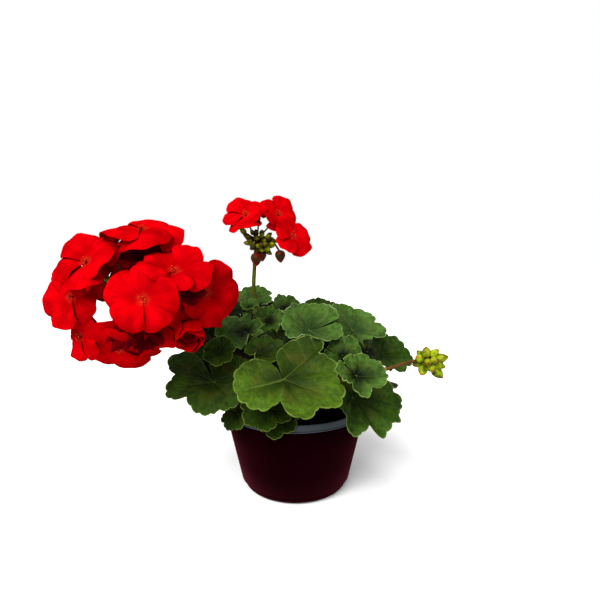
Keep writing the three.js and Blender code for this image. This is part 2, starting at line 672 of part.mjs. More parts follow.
const LARGE_HEAD = {
  route: [[-27, -16, 122], [-49, -36, 133], [-82, -47, 154], [-114, -58, 168]],
  crown: [-126, -62, 176],
  radius: PEDUNCLE_RADIUS,
  florets: {
    front: { at: [-99, -118, 189], to: 272, raised: 8, turn: 80, size: 27, cup: 12 },
    upper_left: { at: [-148, -92, 210], to: 250, raised: 36, turn: 60, size: 26, cup: 13 },
    left: { at: [-165, -86, 185], to: 235, raised: 5, turn: 20, size: 26, cup: 15 },
    low_left: { at: [-158, -80, 163], to: 203, raised: -20, turn: 40, size: 25, cup: 22 },
    low: { at: [-131, -82, 151], to: 255, raised: -52, turn: 10, size: 28, cup: 20 },
    top: { at: [-118, -74, 230], to: 270, raised: 76, turn: 0, size: 29, cup: 5 },
    upper_right: { at: [-85, -99, 204], to: 288, raised: 50, turn: 34, size: 25, cup: 18 },
    right: { at: [-67, -84, 190], to: 318, raised: 8, turn: 50, size: 25, cup: 15 },
    half_open: { at: [-78, -91, 168], to: 285, raised: -30, turn: 36, size: 20, cup: 55 },
    low_right: { at: [-98, -88, 170], to: 280, raised: -30, turn: 0, size: 25, cup: 30 },
    far_right: { at: [-66, -58, 184], to: 350, raised: 5, turn: 40, size: 24, cup: 18 },
    top_back: { at: [-145, -50, 217], to: 150, raised: 55, turn: 45, size: 24, cup: 15 },
    back_high: { at: [-110, -37, 221], to: 60, raised: 55, turn: 70, size: 24, cup: 12 },
    back_right: { at: [-82, -48, 203], to: 20, raised: 35, turn: 20, size: 26, cup: 15 },
    back: { at: [-120, -15, 196], to: 85, raised: 20, turn: 55, size: 25, cup: 15 },
    back_left: { at: [-158, -32, 196], to: 140, raised: 25, turn: 5, size: 24, cup: 15 },
    back_low: { at: [-108, -22, 168], to: 65, raised: -10, turn: 35, size: 24, cup: 18 },
    back_low_left: { at: [-136, -22, 162], to: 115, raised: -25, turn: 65, size: 24, cup: 18 },
    under: { at: [-108, -66, 152], to: 330, raised: -70, turn: 50, size: 25, cup: 22 },
  },
  buds: [],
};

const SMALL_HEAD = {
  route: [[-9, 19, 132], [-28, 14, 152], [-37, 7, 174], [-37, 2, 205]],
  crown: [-34, 0, 229],
  radius: PEDUNCLE_RADIUS,
  florets: {
    left: { at: [-46, -6, 249], to: 225, raised: 50, turn: 60, size: 20, cup: 16 },
    top_right: { at: [-18, -5, 249], to: 310, raised: 35, turn: 54, size: 19, cup: 12 },
    right: { at: [-5, -16, 228], to: 303, raised: 12, turn: 14, size: 19, cup: 12 },
  },
  buds: [
    { at: [-45, -5, 237], size: 8 },
    { at: [-43, -12, 232], size: 8 },
    { at: [-38, -14, 224], size: 7 },
    { at: [-45, 5, 226], size: 8 },
    { at: [-22, -7, 230], size: 8 },
    { at: [-25, -11, 221], size: 8 },
    { at: [-36, -8, 212], size: 12, hangs: true },
    { at: [-29, -2, 215], size: 11, hangs: true },
    { at: [-14, -6, 214], size: 11, hangs: true },
    { at: [-31, 13, 235], size: 8 },
    { at: [-23, 10, 229], size: 7 },
    { at: [-39, 12, 221], size: 8 },
  ],
};

const BUD_HEAD = {
  route: [[30, -16, 116], [50, -30, 115], [76, -37, 119], [102, -29, 124]],
  crown: [116, -25, 124],
  radius: BUD_STALK_RADIUS,
  florets: {},
  buds: [
    { at: [108, -30, 128], size: 8 },
    { at: [117, -24, 133], size: 8 },
    { at: [124, -24, 130], size: 8 },
    { at: [129, -26, 127], size: 9 },
    { at: [127, -26, 120], size: 8 },
    { at: [113, -35, 122], size: 8 },
    { at: [111, -31, 116], size: 9 },
    { at: [118, -32, 118], size: 8 },
    { at: [126, -26, 113], size: 10 },
    { at: [107, -25, 119], size: 7 },
    { at: [112, -17, 128], size: 8 },
    { at: [121, -15, 126], size: 8 },
    { at: [116, -16, 118], size: 8 },
  ],
};

// Materials

function material(color, roughness) {
  return new THREE.MeshStandardMaterial({ color, roughness, metalness: 0 });
}

const MAROON_PLASTIC = material(0x2c0812, 0.45);
const BLUE_GREY_PLASTIC = material(0x56646f, 0.4);
const DARK_SOIL = material(0x17110d, 1);
const WOODY_STEM = material(0x5a5a2c, 0.7);
const DARK_LEAF = material(0x2b4a16, 0.6);
const LIGHT_LEAF = material(0x5f8a2e, 0.6);
const RED_PETAL = material(0xee0a06, 0.45);
const GREEN_STALK = material(0x5a6a1c, 0.6);
const DARK_STALK = material(0x3a2412, 0.6);
const YELLOW_GREEN_BUD = material(0xa8c020, 0.5);

// Assembly

const geranium = new THREE.Group();

function addPiece(name, solid, finish) {
  const mesh = new THREE.Mesh(geometryOf(mainBody(solid)), finish);
  mesh.name = name;
  geranium.add(mesh);
}

addPiece("outer_pot", outerPot(), MAROON_PLASTIC);
addPiece("growers_pot", growersPot(), BLUE_GREY_PLASTIC);
addPiece("soil", soil(), DARK_SOIL);
addPiece("stem", stem(), WOODY_STEM);
Object.entries(LEAVES).forEach(([name, placing], index) => {
  const finish = name === "front_middle" ? LIGHT_LEAF : DARK_LEAF;
  addPiece("leaf_" + name, leafSolid(leafFrom(name, placing, index)), finish);
});

const largeFlorets = joined(Object.values(LARGE_HEAD.florets).map(floretSolid));
addPiece("large_head_stalks", stalkSolid(LARGE_HEAD, 0), DARK_STALK);
addPiece("large_head_florets", largeFlorets.subtract(stalkSolid(LARGE_HEAD, FACE_GAP)), RED_PETAL);

const smallHeadClearance = stalkSolid(SMALL_HEAD, FACE_GAP);
addPiece("small_head_stalks_and_buds", stalkSolid(SMALL_HEAD, 0), GREEN_STALK);
for (const [name, floret] of Object.entries(SMALL_HEAD.florets)) {
  addPiece("small_head_floret_" + name, floretSolid(floret).subtract(smallHeadClearance), RED_PETAL);
}

addPiece("bud_head", stalkSolid(BUD_HEAD, 0), YELLOW_GREEN_BUD);

export default geranium;
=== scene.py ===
# %% [markdown]
# # A potted geranium
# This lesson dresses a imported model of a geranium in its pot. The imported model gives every
# piece's place and rough shape; here each piece is modelled again with fine edges, veins and
# petals, and gets a material made of nodes. Sizes are written in millimetres, as they would be
# measured on the plant, and turned to Blender's metres by one factor.

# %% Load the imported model
import math
from functools import partial

import bpy
from mathutils import Matrix, Vector


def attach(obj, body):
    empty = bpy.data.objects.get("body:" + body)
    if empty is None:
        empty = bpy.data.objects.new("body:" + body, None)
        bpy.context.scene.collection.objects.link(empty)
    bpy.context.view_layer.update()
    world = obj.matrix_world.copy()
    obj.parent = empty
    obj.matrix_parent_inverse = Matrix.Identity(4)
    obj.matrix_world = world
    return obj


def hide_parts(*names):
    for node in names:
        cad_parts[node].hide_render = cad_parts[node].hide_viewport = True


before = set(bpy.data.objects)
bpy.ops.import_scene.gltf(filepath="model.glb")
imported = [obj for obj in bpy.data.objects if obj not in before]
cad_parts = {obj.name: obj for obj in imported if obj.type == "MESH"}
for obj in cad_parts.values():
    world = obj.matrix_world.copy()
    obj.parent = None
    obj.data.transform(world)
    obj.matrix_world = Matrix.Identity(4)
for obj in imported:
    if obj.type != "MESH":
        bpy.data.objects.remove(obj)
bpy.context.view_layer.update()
MM = 0.001

# %% [markdown]
# ## Camera, light and floor
# The pot was photographed from a little above its leaves, by a lens that sees about 61 degrees,
# tilted 7.8 degrees down. The setting is bright and nearly shadowless, with most of the light
# from above: the world is white, and a very wide soft sun stands high at the front left, so that
# leaf tops and petals are bright, the hollows of the mound stay dark and the floor turns white.

# %% Camera, light and floor
CAMERA_PLACE = (4.3, -460, 237)
CAMERA_PITCH = 7.8
CAMERA_LENS = 30.5
WORLD_STRENGTH = 1.0
SUN_PLACE = (-0.35, -0.8, 1.0)
SUN_STRENGTH = 7.5
SUN_WIDTH = 50               # degrees across, as wide as a large softbox close by
KEY_PLACE = (-0.6, -0.8, 0.8)
KEY_POWER = 4                # watts
KEY_WIDTH = 0.3
MIDDLE_OF_PLANT = Vector((0, 0, 0.13))


def new_camera():
    data = bpy.data.cameras.new("camera")
    data.lens = CAMERA_LENS
    data.sensor_width = 36
    data.clip_start = 0.01
    camera = bpy.data.objects.new("camera", data)
    camera.location = Vector(CAMERA_PLACE) * MM
    camera.rotation_euler = (math.radians(90 - CAMERA_PITCH), 0, 0)
    bpy.context.scene.collection.objects.link(camera)
    bpy.context.scene.camera = camera


def new_lamp(name, kind, place, strength, width):
    """A lamp that points at the plant. width is its size in metres, or in degrees for a sun."""
    data = bpy.data.lights.new(name, kind)
    data.energy = strength
    if kind == "SUN":
        data.angle = math.radians(width)
    else:
        data.shape = "DISK"
        data.size = width
    lamp = bpy.data.objects.new(name, data)
    lamp.location = place
    aim = MIDDLE_OF_PLANT - Vector(place)
    lamp.rotation_euler = aim.to_track_quat("-Z", "Y").to_euler()
    bpy.context.scene.collection.objects.link(lamp)


new_camera()
new_lamp("soft_sun", "SUN", SUN_PLACE, SUN_STRENGTH, SUN_WIDTH)
new_lamp("key_light", "AREA", KEY_PLACE, KEY_POWER, KEY_WIDTH)
scene = bpy.context.scene
scene.view_settings.view_transform = "Standard"
if scene.world is None:
    scene.world = bpy.data.worlds.new("studio")
scene.world.use_nodes = True
background = scene.world.node_tree.nodes["Background"]
background.inputs["Color"].default_value = (1, 1, 1, 1)
background.inputs["Strength"].default_value = WORLD_STRENGTH

# %% [markdown]
# ## Helpers
# No two leaves or petals of a plant are alike, so a repeatable spread of numbers stands in for
# chance. A random generator would do too, but its numbers change when a piece is added. Other
# short functions give directions by bearings, where 0 is right, 90 back, 180 left and 270 front,
# and leave only one object selected before an operator runs, as operators act on all that is.

# %% Helpers for places and directions
def vary(index, use):
    """A repeatable number from -1 to 1, different for each index and use."""
    share = index * 0.6180339887 + use * 0.7548776662
    return 2 * (share - math.floor(share)) - 1


def direction(bearing, elevation=0.0):
    turn, rise = math.radians(bearing), math.radians(elevation)
    level = math.cos(rise)
    return Vector((level * math.cos(turn), level * math.sin(turn), math.sin(rise)))


def frame_at(place, along, up):
    """The matrix of a frame at a place in mm, with its Z along up and its X near along."""
    z = up.normalized()
    x = (along - z * along.dot(z)).normalized()
    y = z.cross(x)
    turn = Matrix((x, y, z)).transposed().to_4x4()
    return Matrix.Translation(Vector(place)) @ turn


def clamp(value, low, high):
    return max(low, min(high, value))


def ease(value):
    """Rises smoothly from 0 to 1 as value goes from 0 to 1."""
    value = clamp(value, 0, 1)
    return value * value * (3 - 2 * value)


print("front points along", tuple(round(part, 3) for part in direction(270)))


# %% Helpers for objects
def select_only(*pieces):
    if bpy.context.mode != "OBJECT":
        bpy.ops.object.mode_set(mode="OBJECT")
    bpy.ops.object.select_all(action="DESELECT")
    for piece in pieces:
        piece.select_set(True)
    bpy.context.view_layer.objects.active = pieces[0]


def start_from(add_primitive, name, **settings):
    """Adds a primitive with everything else deselected, and names it."""
    bpy.ops.object.select_all(action="DESELECT")
    add_primitive(**settings)
    piece = bpy.context.object
    piece.name = name
    return piece


def grid_blank(name, across, along):
    """A flat grid, one unit wide, whose columns and rows are later bent into a leaf or a petal."""
    return start_from(bpy.ops.mesh.primitive_grid_add, name,
                      x_subdivisions=across, y_subdivisions=along, size=1)


def copy_of(piece, name):
    twin = piece.copy()
    twin.data = piece.data.copy()
    twin.name = name
    bpy.context.scene.collection.objects.link(twin)
    return twin


def discard(*pieces):
    for piece in pieces:
        bpy.data.objects.remove(piece)


def join_as(name, pieces):
    select_only(*pieces)
    bpy.ops.object.join()
    whole = bpy.context.object
    whole.name = name
    return whole


def apply_modifier(piece, kind, **settings):
    select_only(piece)
    bpy.ops.object.modifier_add(type=kind)
    modifier = piece.modifiers[-1]
    for key, value in settings.items():
        setattr(modifier, key, value)
    bpy.ops.object.modifier_apply(modifier=modifier.name)


def merge_doubles(piece, distance):
    select_only(piece)
    bpy.ops.object.mode_set(mode="EDIT")
    bpy.ops.mesh.select_all(action="SELECT")
    bpy.ops.mesh.remove_doubles(threshold=distance * MM)
    bpy.ops.object.mode_set(mode="OBJECT")


def smooth(piece, angle=50):
    select_only(piece)
    bpy.ops.object.shade_smooth_by_angle(angle=math.radians(angle))


def hand_over(piece, slot, *nodes):
    """Hangs the finished piece on the root and hides the imported nodes it stands for; slot is not used.
    """
    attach(piece, "root")
    if nodes:
        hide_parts(*nodes)


print("object helpers ready")

# %% [markdown]
# ## Materials
# Every finish of the plant and its pots starts from the same principled shader, and nodes give
# it its patterns. Colours are picked as sRGB hex values and turned to linear light by one
# function. One small function adds a node with its settings and links. A pattern's scale is
# worked out from the size in millimetres of its spots or lines on the real object.

# %% Helpers for materials
SMOOTH = {"interpolation_type": "SMOOTHSTEP"}        # a Map Range node with soft ends
COLOURS = {"data_type": "RGBA"}                      # a Mix node of colours, its inputs 6 and 7


def linear(hex_colour):
    """An sRGB hex colour as linear red, green, blue and alpha."""
    values = [int(hex_colour[i:i + 2], 16) / 255 for i in (1, 3, 5)]
    return (*[v / 12.92 if v <= 0.04045 else ((v + 0.055) / 1.055) ** 2.4 for v in values], 1.0)


def scale_of(size):
    """The scale, to two digits, of a pattern whose spots are size mm wide on Object coordinates."""
    return float(f"{1 / (size * MM):.2g}")


def set_inputs(material, node, inputs):
    """Gives a node's inputs values or links. From a node, its first output in use is linked."""
    for key, value in inputs.items():
        if isinstance(value, bpy.types.Node):
            value = next(socket for socket in value.outputs if socket.enabled)
        if isinstance(value, bpy.types.NodeSocket):
            material.node_tree.links.new(value, node.inputs[key])
        else:
            node.inputs[key].default_value = value


def add_node(material, kind, inputs, **settings):
    """Adds a node. inputs are a list in the node's own order, or a dict by name or number."""
    node = material.node_tree.nodes.new("ShaderNode" + kind)
    for key, value in settings.items():
        setattr(node, key, value)
    set_inputs(material, node, inputs if isinstance(inputs, dict) else dict(enumerate(inputs)))
    return node


def new_material(name):
    """A material, its shader, and add_node with the material filled in."""
    material = bpy.data.materials.new(name)
    material.use_nodes = True
    return material, material.node_tree.nodes["Principled BSDF"], partial(add_node, material)


print("a pattern with spots of 5 mm has scale", scale_of(5))

# %% [markdown]
# ## Leaf material
# A zonal geranium's leaf is soft and slightly downy, so it has a broad weak gloss and no sharp
# highlight. Pale veins spread like fingers from the notch to the tips of the lobes and fork on
# the way, a faint brown zone runs round the middle, and the edge itself is a thin pale line.
# The veins could be painted by hand, but a formula fits all leaves at once. A leaf's UV map
# counts its lobes across, with a tip at each half, and runs from 0 at the notch to 1 at the
# edge, so every main vein finds the tip of its own lobe.

# %% The veins on a leaf's UV map
LOBE_ANGLE = 50
SIDE_VEIN_SPACING = 0.26     # along a main vein, in leaf sizes: 12 mm on the largest leaf
SIDE_VEIN_SLANT = 2.2        # how fast a side vein runs outwards as it leaves the main vein
VEIN_WIDTHS = (0.016, 0.006) # half a main vein at the notch and at the edge, in leaf sizes
WANDER = (0.06, 0.04, 0)     # how far the veins stray, in lobes and in leaf sizes


def leaf_plan(add, plain_uv, wander):
    """A leaf's lobe and share, shifted a little by a wandering noise, so no vein is ruled."""
    shift = add("VectorMath", [wander.outputs["Color"], (0.5, 0.5, 0.5)], operation="SUBTRACT")
    shifted = add("VectorMath", [shift, WANDER, plain_uv], operation="MULTIPLY_ADD")
    return add("SeparateXYZ", [shifted]).outputs


def leaf_veins(add, lobe, share):
    """1 in the middle of a main vein, and less in the veins that fork off on both sides."""
    part = add("Math", [lobe], operation="FRACT")
    middle = add("Math", [part, 0.5], operation="SUBTRACT")
    turn = add("Math", [middle, math.radians(LOBE_ANGLE)], operation="MULTIPLY")
    aside = add("Math", [share, add("Math", [turn], operation="SINE")], operation="MULTIPLY")
    side = add("Math", [aside], operation="ABSOLUTE")
    along = add("Math", [share, add("Math", [turn], operation="COSINE")], operation="MULTIPLY")
    width = add("MapRange", [share, 0, 1, *VEIN_WIDTHS], **SMOOTH)
    off_vein = add("Math", [side, width], operation="DIVIDE")
    main = add("Math", [1, off_vein], operation="SUBTRACT", use_clamp=True)
    slant = add("Math", [side, -SIDE_VEIN_SLANT, along], operation="MULTIPLY_ADD")
    gap = add("Math", [slant, SIDE_VEIN_SPACING / 2], operation="PINGPONG")
    line = add("MapRange", [gap, 0, 0.02, 0.35, 0], **SMOOTH)
    outward = add("MapRange", [share, 0.3, 0.55], **SMOOTH)
    forked = add("Math", [line, outward], operation="MULTIPLY")
    return add("Math", [main, forked], operation="MAXIMUM")


print("side veins every", round(SIDE_VEIN_SPACING * 46), "mm on the largest leaf")

# %% [markdown]
# ### Colours and relief of a leaf
# On a leaf's two mottled greens lie weaker layers, each mixed in by a strength of its own: the
# dark heart by the stalk, which is painted shade in the blade's hollow, the brown zone, the veins
# and the pale edge. Some leaves also turn to the heart's colour on their upper part, painted shade
# under the leaves above. The cushions between fine veins and the down could be modelled, but at
# a millimetre or less a bump gives the same look.

# %% Leaf material
VEIN_STRENGTH = 0.27
ZONE_BROWN = "#2c2c08"
LEAF_GLOSS = 0.03            # far under the usual 0.5, as down scatters the light


def leaf_material(name, shaded_heart, dark, light, vein, zone_strength, shaded_above=0):
    """shaded_heart is the colour by the stalk, painted shade; dark and light are the two tones of the
    rest.

    shaded_above is a height in mm above which the colour turns to the heart's, painted shade, if given.
    """
    material, shader, add = new_material(name)
    coords = add("TexCoord", [])
    place = coords.outputs["Object"]
    wander = add("TexNoise", {"Vector": place, "Scale": scale_of(11.1), "Detail": 2})
    patches = add("TexNoise", {"Vector": place, "Scale": scale_of(16.7), "Detail": 4})
    crinkles = add("TexNoise", {"Vector": place, "Scale": scale_of(3.8), "Detail": 3})
    cells = add("TexVoronoi", {"Vector": place, "Scale": scale_of(2.4)})
    # Down is a tenth of a millimetre apart, too fine for the render, and is drawn this coarse.
    down = add("TexNoise", {"Vector": place, "Scale": scale_of(1.11), "Detail": 2})
    lobe, share, _ = leaf_plan(add, coords.outputs["UV"], wander)
    veins = leaf_veins(add, lobe, share)

    mottle = add("Math", [patches, 0.55], operation="MULTIPLY")
    mottle = add("Math", [crinkles, 0.45, mottle], operation="MULTIPLY_ADD")
    layers = [(add("MapRange", [mottle, 0.38, 0.62], **SMOOTH), light)]
    # Painted shade: above a given height the colour turns to the dark heart's, under the leaves above.
    if shaded_above:
        level = add("SeparateXYZ", [place]).outputs["Z"]
        painted_shade = add("MapRange", [level, shaded_above * MM, (shaded_above + 18) * MM, 0, 0.8], **SMOOTH)
        layers.append((painted_shade, shaded_heart))
    # Painted shade: the dark heart by the stalk, where the blade's hollow lies in shade.
    layers.append((add("MapRange", [share, 0.1, 0.85, 1, 0], **SMOOTH), shaded_heart))
    inner = add("MapRange", [share, 0.3, 0.46], **SMOOTH)
    outer = add("MapRange", [share, 0.56, 0.74, 1, 0], **SMOOTH)
    ring = add("Math", [inner, outer], operation="MULTIPLY")
    blotchy = add("MapRange", [patches, 0.4, 0.6], **SMOOTH)
    blotchy = add("Math", [blotchy, zone_strength], operation="MULTIPLY")
    layers.append((add("Math", [ring, blotchy], operation="MULTIPLY"), ZONE_BROWN))
    layers.append((add("Math", [veins, VEIN_STRENGTH], operation="MULTIPLY"), vein))
    edge = add("MapRange", [share, 0.965, 0.995], **SMOOTH)
    uneven = add("MapRange", [wander, 0.35, 0.6, 0.2, 0.75], **SMOOTH)
    layers.append((add("Math", [edge, uneven], operation="MULTIPLY"), vein))
    colour = linear(dark)
    for strength, tint in layers:
        colour = add("Mix", {0: strength, 6: colour, 7: linear(tint)}, **COLOURS)

    relief = add("Math", [down, 0.3], operation="MULTIPLY")
    for pattern, height in ((cells, 0.3), (crinkles, 1.2), (patches, 1.5)):
        relief = add("Math", [pattern, height, relief], operation="MULTIPLY_ADD")
    sunken = add("Math", [relief, veins], operation="SUBTRACT")
    bump = add("Bump", {"Height": sunken, "Strength": 0.7, "Distance": 0.9 * MM})
    rough = add("MapRange", [down, 0.3, 0.7, 0.42, 0.55], **SMOOTH)
    set_inputs(material, shader, {"Base Color": colour, "Roughness": rough, "Normal": bump,
                                  "Specular IOR Level": LEAF_GLOSS})
    return material


# The large front leaf is fully grown and in full light, and its lighter green is partly painted
# light. The darker greens of the others are partly age and partly painted shade, under leaves above.
LIGHT_LEAF = leaf_material("leaf_light_green", "#0f1a01", "#223305", "#344a0c", "#5c6e2c", 0.5, 122)
MID_LEAF = leaf_material("leaf_mid_green", "#0d1801", "#132402", "#253b08", "#52662a", 0.4)
DARK_LEAF = leaf_material("leaf_dark_green", "#0c1501", "#111d02", "#1d2f04", "#4e5c20", 0.4)
# The young upper leaves' grey-green is a painted reflection of the bright sky on their tops, and
# cupped ones get a painted shade, near black, in the heart.
SKY_REFLECTION_LEAF = leaf_material("leaf_sky_reflection_green", "#17260b", "#1e3009", "#344c1a", "#627846", 0.2)
CUPPED_LEAF = leaf_material("leaf_cupped_green", "#010400", "#1c2e0a", "#324917", "#627236", 0.2)
# Inside the mound hardly any light is left, so the leaves there are painted shade, nearly black.
SHADED_LEAF = leaf_material("leaf_shaded_green", "#030601", "#050b01", "#0a1502", "#152306", 0.2)
print("leaf materials:", len([m for m in bpy.data.materials if m.name.startswith("leaf_")]))

# %% [markdown]
# ## Petal material
# Petals are a saturated red with a velvety surface of tiny cone-shaped cells, which swallow the
# highlight, so the shader gets no specular light at all. Fine streaks run from the throat to the
# rim, which a noise stretched along the petal's UV map gives. The throat is a little paler and
# more orange. Petals in the shade of others are a much deeper red.

# %% Petal material
STREAKS = (34, 2.2, 1)       # across a petal, where one is about 0.8 mm wide, and along it


def petal_material(name, main, second, streak, throat):
    material, shader, add = new_material(name)
    coords = add("TexCoord", [])
    lengthwise = add("SeparateXYZ", [coords.outputs["UV"]]).outputs["Y"]
    stretched = add("Mapping", {"Vector": coords.outputs["UV"], "Scale": STREAKS})
    streaks = add("TexNoise", {"Vector": stretched, "Scale": 1, "Detail": 3})
    place = coords.outputs["Object"]
    clouds = add("TexNoise", {"Vector": place, "Scale": scale_of(16.7), "Detail": 2})
    colour = linear(main)
    for pattern, band, tint in ((clouds, (0.3, 0.7, 0, 1), second),
                                (streaks, (0.5, 0.72, 0, 0.5), streak),
                                (lengthwise, (0.06, 0.26, 0.5, 0), throat)):
        strength = add("MapRange", [pattern, *band], **SMOOTH)
        colour = add("Mix", {0: strength, 6: colour, 7: linear(tint)}, **COLOURS)
    bump = add("Bump", {"Height": streaks, "Strength": 0.25, "Distance": 0.4 * MM})
    set_inputs(material, shader, {"Base Color": colour, "Roughness": 0.4, "Normal": bump,
                                  "Specular IOR Level": 0.0})
    return material


RED_PETAL = petal_material("petal_satin_red", "#760002", "#960004", "#560004", "#941a0e")
SHADED_PETAL = petal_material("petal_shaded_red", "#380004", "#4a0004", "#1a0001", "#2c0604")
print("petal materials ready")

# %% [markdown]
# ## Stalk and bud materials
# Stalks, sepals and buds are the same soft tissue, blotched in two colours and covered with
# short hairs, so they share one function. Stalks are green with a brown flush, and redder where
# the sun reaches them. Buds are yellow-green, and their tips turn red as they open.

# %% Stalk and bud materials
def growing_material(name, first, second, tip, roughness):
    """Soft plant tissue: two colours in blotches, and a third that starts at a UV of 0.72."""
    material, shader, add = new_material(name)
    coords = add("TexCoord", [])
    place = coords.outputs["Object"]
    blotches = add("TexNoise", {"Vector": place, "Scale": scale_of(6.2), "Detail": 4})
    # Real hairs are a few hundredths of a millimetre thick, and are drawn this coarse to show.
    hairs = add("TexNoise", {"Vector": place, "Scale": scale_of(0.67), "Detail": 2})
    layers = [(add("MapRange", [blotches, 0.35, 0.65], **SMOOTH), second)]
    if tip:
        lengthwise = add("SeparateXYZ", [coords.outputs["UV"]]).outputs["Y"]
        layers.append((add("MapRange", [lengthwise, 0.72, 0.98, 0, 0.8], **SMOOTH), tip))
    colour = linear(first)
    for strength, tint in layers:
        colour = add("Mix", {0: strength, 6: colour, 7: linear(tint)}, **COLOURS)
    bump = add("Bump", {"Height": hairs, "Strength": 0.3, "Distance": 0.3 * MM})
    set_inputs(material, shader, {"Base Color": colour, "Roughness": roughness, "Normal": bump,
                                  "Specular IOR Level": 0.04})
    return material


# Stalks, from the leaves' own green to the flower stalks' red and brown.
GREEN_STALK = growing_material("stalk_green", "#343706", "#42440f", None, 0.55)
# The large head's long stalk runs through the mound's dark hollow, and its near black is painted shade.
SHADED_STALK = growing_material("stalk_shaded_green", "#10100a", "#181206", None, 0.55)
TAN_STALK = growing_material("stalk_tan", "#2c270c", "#43290d", None, 0.55)
RED_STALK = growing_material("stalk_dark_red", "#2d0e09", "#3a200e", None, 0.55)
RED_BROWN_STALK = growing_material("stalk_red_brown", "#380f06", "#48280c", None, 0.5)
WOODY_STEM = growing_material("stem_woody", "#453f1e", "#313a13", None, 0.75)
# Buds, from young to nearly open, are taut and a little smoother.
GREEN_BUD = growing_material("bud_yellow_green", "#2c3a03", "#75840a", "#7a220c", 0.45)
YOUNG_BUD = growing_material("bud_light_green", "#333a06", "#6c740c", "#581808", 0.45)
OLIVE_BUD = growing_material("bud_olive", "#2a1a06", "#44420c", "#3a1008", 0.5)
RED_BUD = growing_material("bud_dark_red", "#4a0603", "#1c1a06", "#981006", 0.45)
# Sepals are matt green with a brown tip, and anthers dusty orange.
SEPAL_GREEN = growing_material("sepal_green", "#2d3a0e", "#414c15", "#472013", 0.55)
ANTHER = growing_material("anther_orange", "#812509", "#8e3a13", None, 0.6)
print("stalk and bud materials ready")

# %% [markdown]
# ## Pot and soil materials
# The outer pot is moulded polypropylene: smooth and deep maroon, with a faint sheen and a little
# dust instead of a sharp gloss. The grower's pot is thinner blue-grey plastic and a touch
# shinier. The soil is damp peat, nearly black and matt, with short brown fibres.

# %% Pot and soil materials
SHEEN_TINT = "#98404c"       # the dusty rose at the maroon pot's turned-away sides


def plastic_material(name, main, second, dust, roughness, bump_strength, gloss, sheen):
    """Moulded plastic: broad clouds of two tones, sparse specks of dust and a fine grain."""
    material, shader, add = new_material(name)
    place = add("TexCoord", []).outputs["Object"]
    clouds = add("TexNoise", {"Vector": place, "Scale": scale_of(45), "Detail": 4})
    specks = add("TexVoronoi", {"Vector": place, "Scale": scale_of(7.7)})
    sparse = add("TexNoise", {"Vector": place, "Scale": scale_of(16.7), "Detail": 1})
    # The mould's spark-eroded grain is finer than this, which is as coarse as it needs to show.
    grain = add("TexNoise", {"Vector": place, "Scale": scale_of(1.11), "Detail": 2})
    spots = add("MapRange", [specks, 0.05, 0.12, 1, 0], **SMOOTH)
    spots = add("Math", [spots, add("MapRange", [sparse, 0.62, 0.72], **SMOOTH)], operation="MULTIPLY")
    spots = add("Math", [spots, 0.5], operation="MULTIPLY")
    colour = linear(main)
    for strength, tint in ((add("MapRange", [clouds, 0.35, 0.65], **SMOOTH), second), (spots, dust)):
        colour = add("Mix", {0: strength, 6: colour, 7: linear(tint)}, **COLOURS)
    handled = add("MapRange", [clouds, 0.3, 0.7, -0.05, 0.08], **SMOOTH)
    rough = add("Math", [roughness, handled], operation="ADD")
    bump = add("Bump", {"Height": grain, "Strength": bump_strength, "Distance": 0.2 * MM})
    set_inputs(material, shader, {"Base Color": colour, "Roughness": rough, "Normal": bump,
                                  "Specular IOR Level": gloss, "Sheen Weight": sheen,
                                  "Sheen Roughness": 0.4, "Sheen Tint": linear(SHEEN_TINT)})
    return material


def soil_material():
    material, shader, add = new_material("soil_damp_peat")
    place = add("TexCoord", []).outputs["Object"]
    crumbs = add("TexNoise", {"Vector": place, "Scale": scale_of(3.8), "Detail": 6})
    fibres = add("TexVoronoi", {"Vector": place, "Scale": scale_of(2.4)})
    damp = add("MapRange", [crumbs, 0.35, 0.7], **SMOOTH)
    colour = add("Mix", {0: damp, 6: linear("#020201"), 7: linear("#0c0806")}, **COLOURS)
    relief = add("Math", [crumbs, fibres], operation="ADD")
    bump = add("Bump", {"Height": relief, "Strength": 0.7, "Distance": 1 * MM})
    set_inputs(material, shader, {"Base Color": colour, "Roughness": 0.92, "Normal": bump,
                                  "Specular IOR Level": 0.0})
    return material


MAROON_PLASTIC = plastic_material("moulded_maroon_plastic", "#060001", "#090002", "#200c0f",
                                  0.45, 0.1, 0.0, 0.2)
GREY_PLASTIC = plastic_material("moulded_blue_grey_plastic", "#262c31", "#2b3136", "#484f55",
                                0.4, 0.15, 0.12, 0)
DAMP_SOIL = soil_material()
print("pot and soil materials ready")

# %% [markdown]
# ## Floor
# The plant stands on a pale sheet of paper. It could rise into a wall behind the plant, as in a
# photo studio, but the white world is background enough, so a wide flat sheet does.

# %% Floor
FLOOR_WIDTH = 6              # metres, far past what the camera sees


def new_floor():
    floor = start_from(bpy.ops.mesh.primitive_plane_add, "floor", size=FLOOR_WIDTH, location=(0, 0, 0))
    bpy.ops.object.mode_set(mode="EDIT")
    bpy.ops.mesh.subdivide(number_cuts=3)
    bpy.ops.object.mode_set(mode="OBJECT")
    material, shader, _ = new_material("floor_pale_paper")
    set_inputs(material, shader, {"Base Color": linear("#cfcfcf"), "Roughness": 0.9})
    floor.data.materials.append(material)


new_floor()
print("floor laid")

# %% [markdown]
# ## Pots
# A pot is a round wall that rises from its floor, turns over at the rim and goes back down
# inside. A profile could be spun round an axis, but a circle that is extruded and scaled once
# for each point of the profile gives clean rings and a closed floor at both ends. The moulded
# maroon pot is smooth, and its foot is well rounded.

# %% A round pot, extruded ring by ring
POT_SIDES = 128


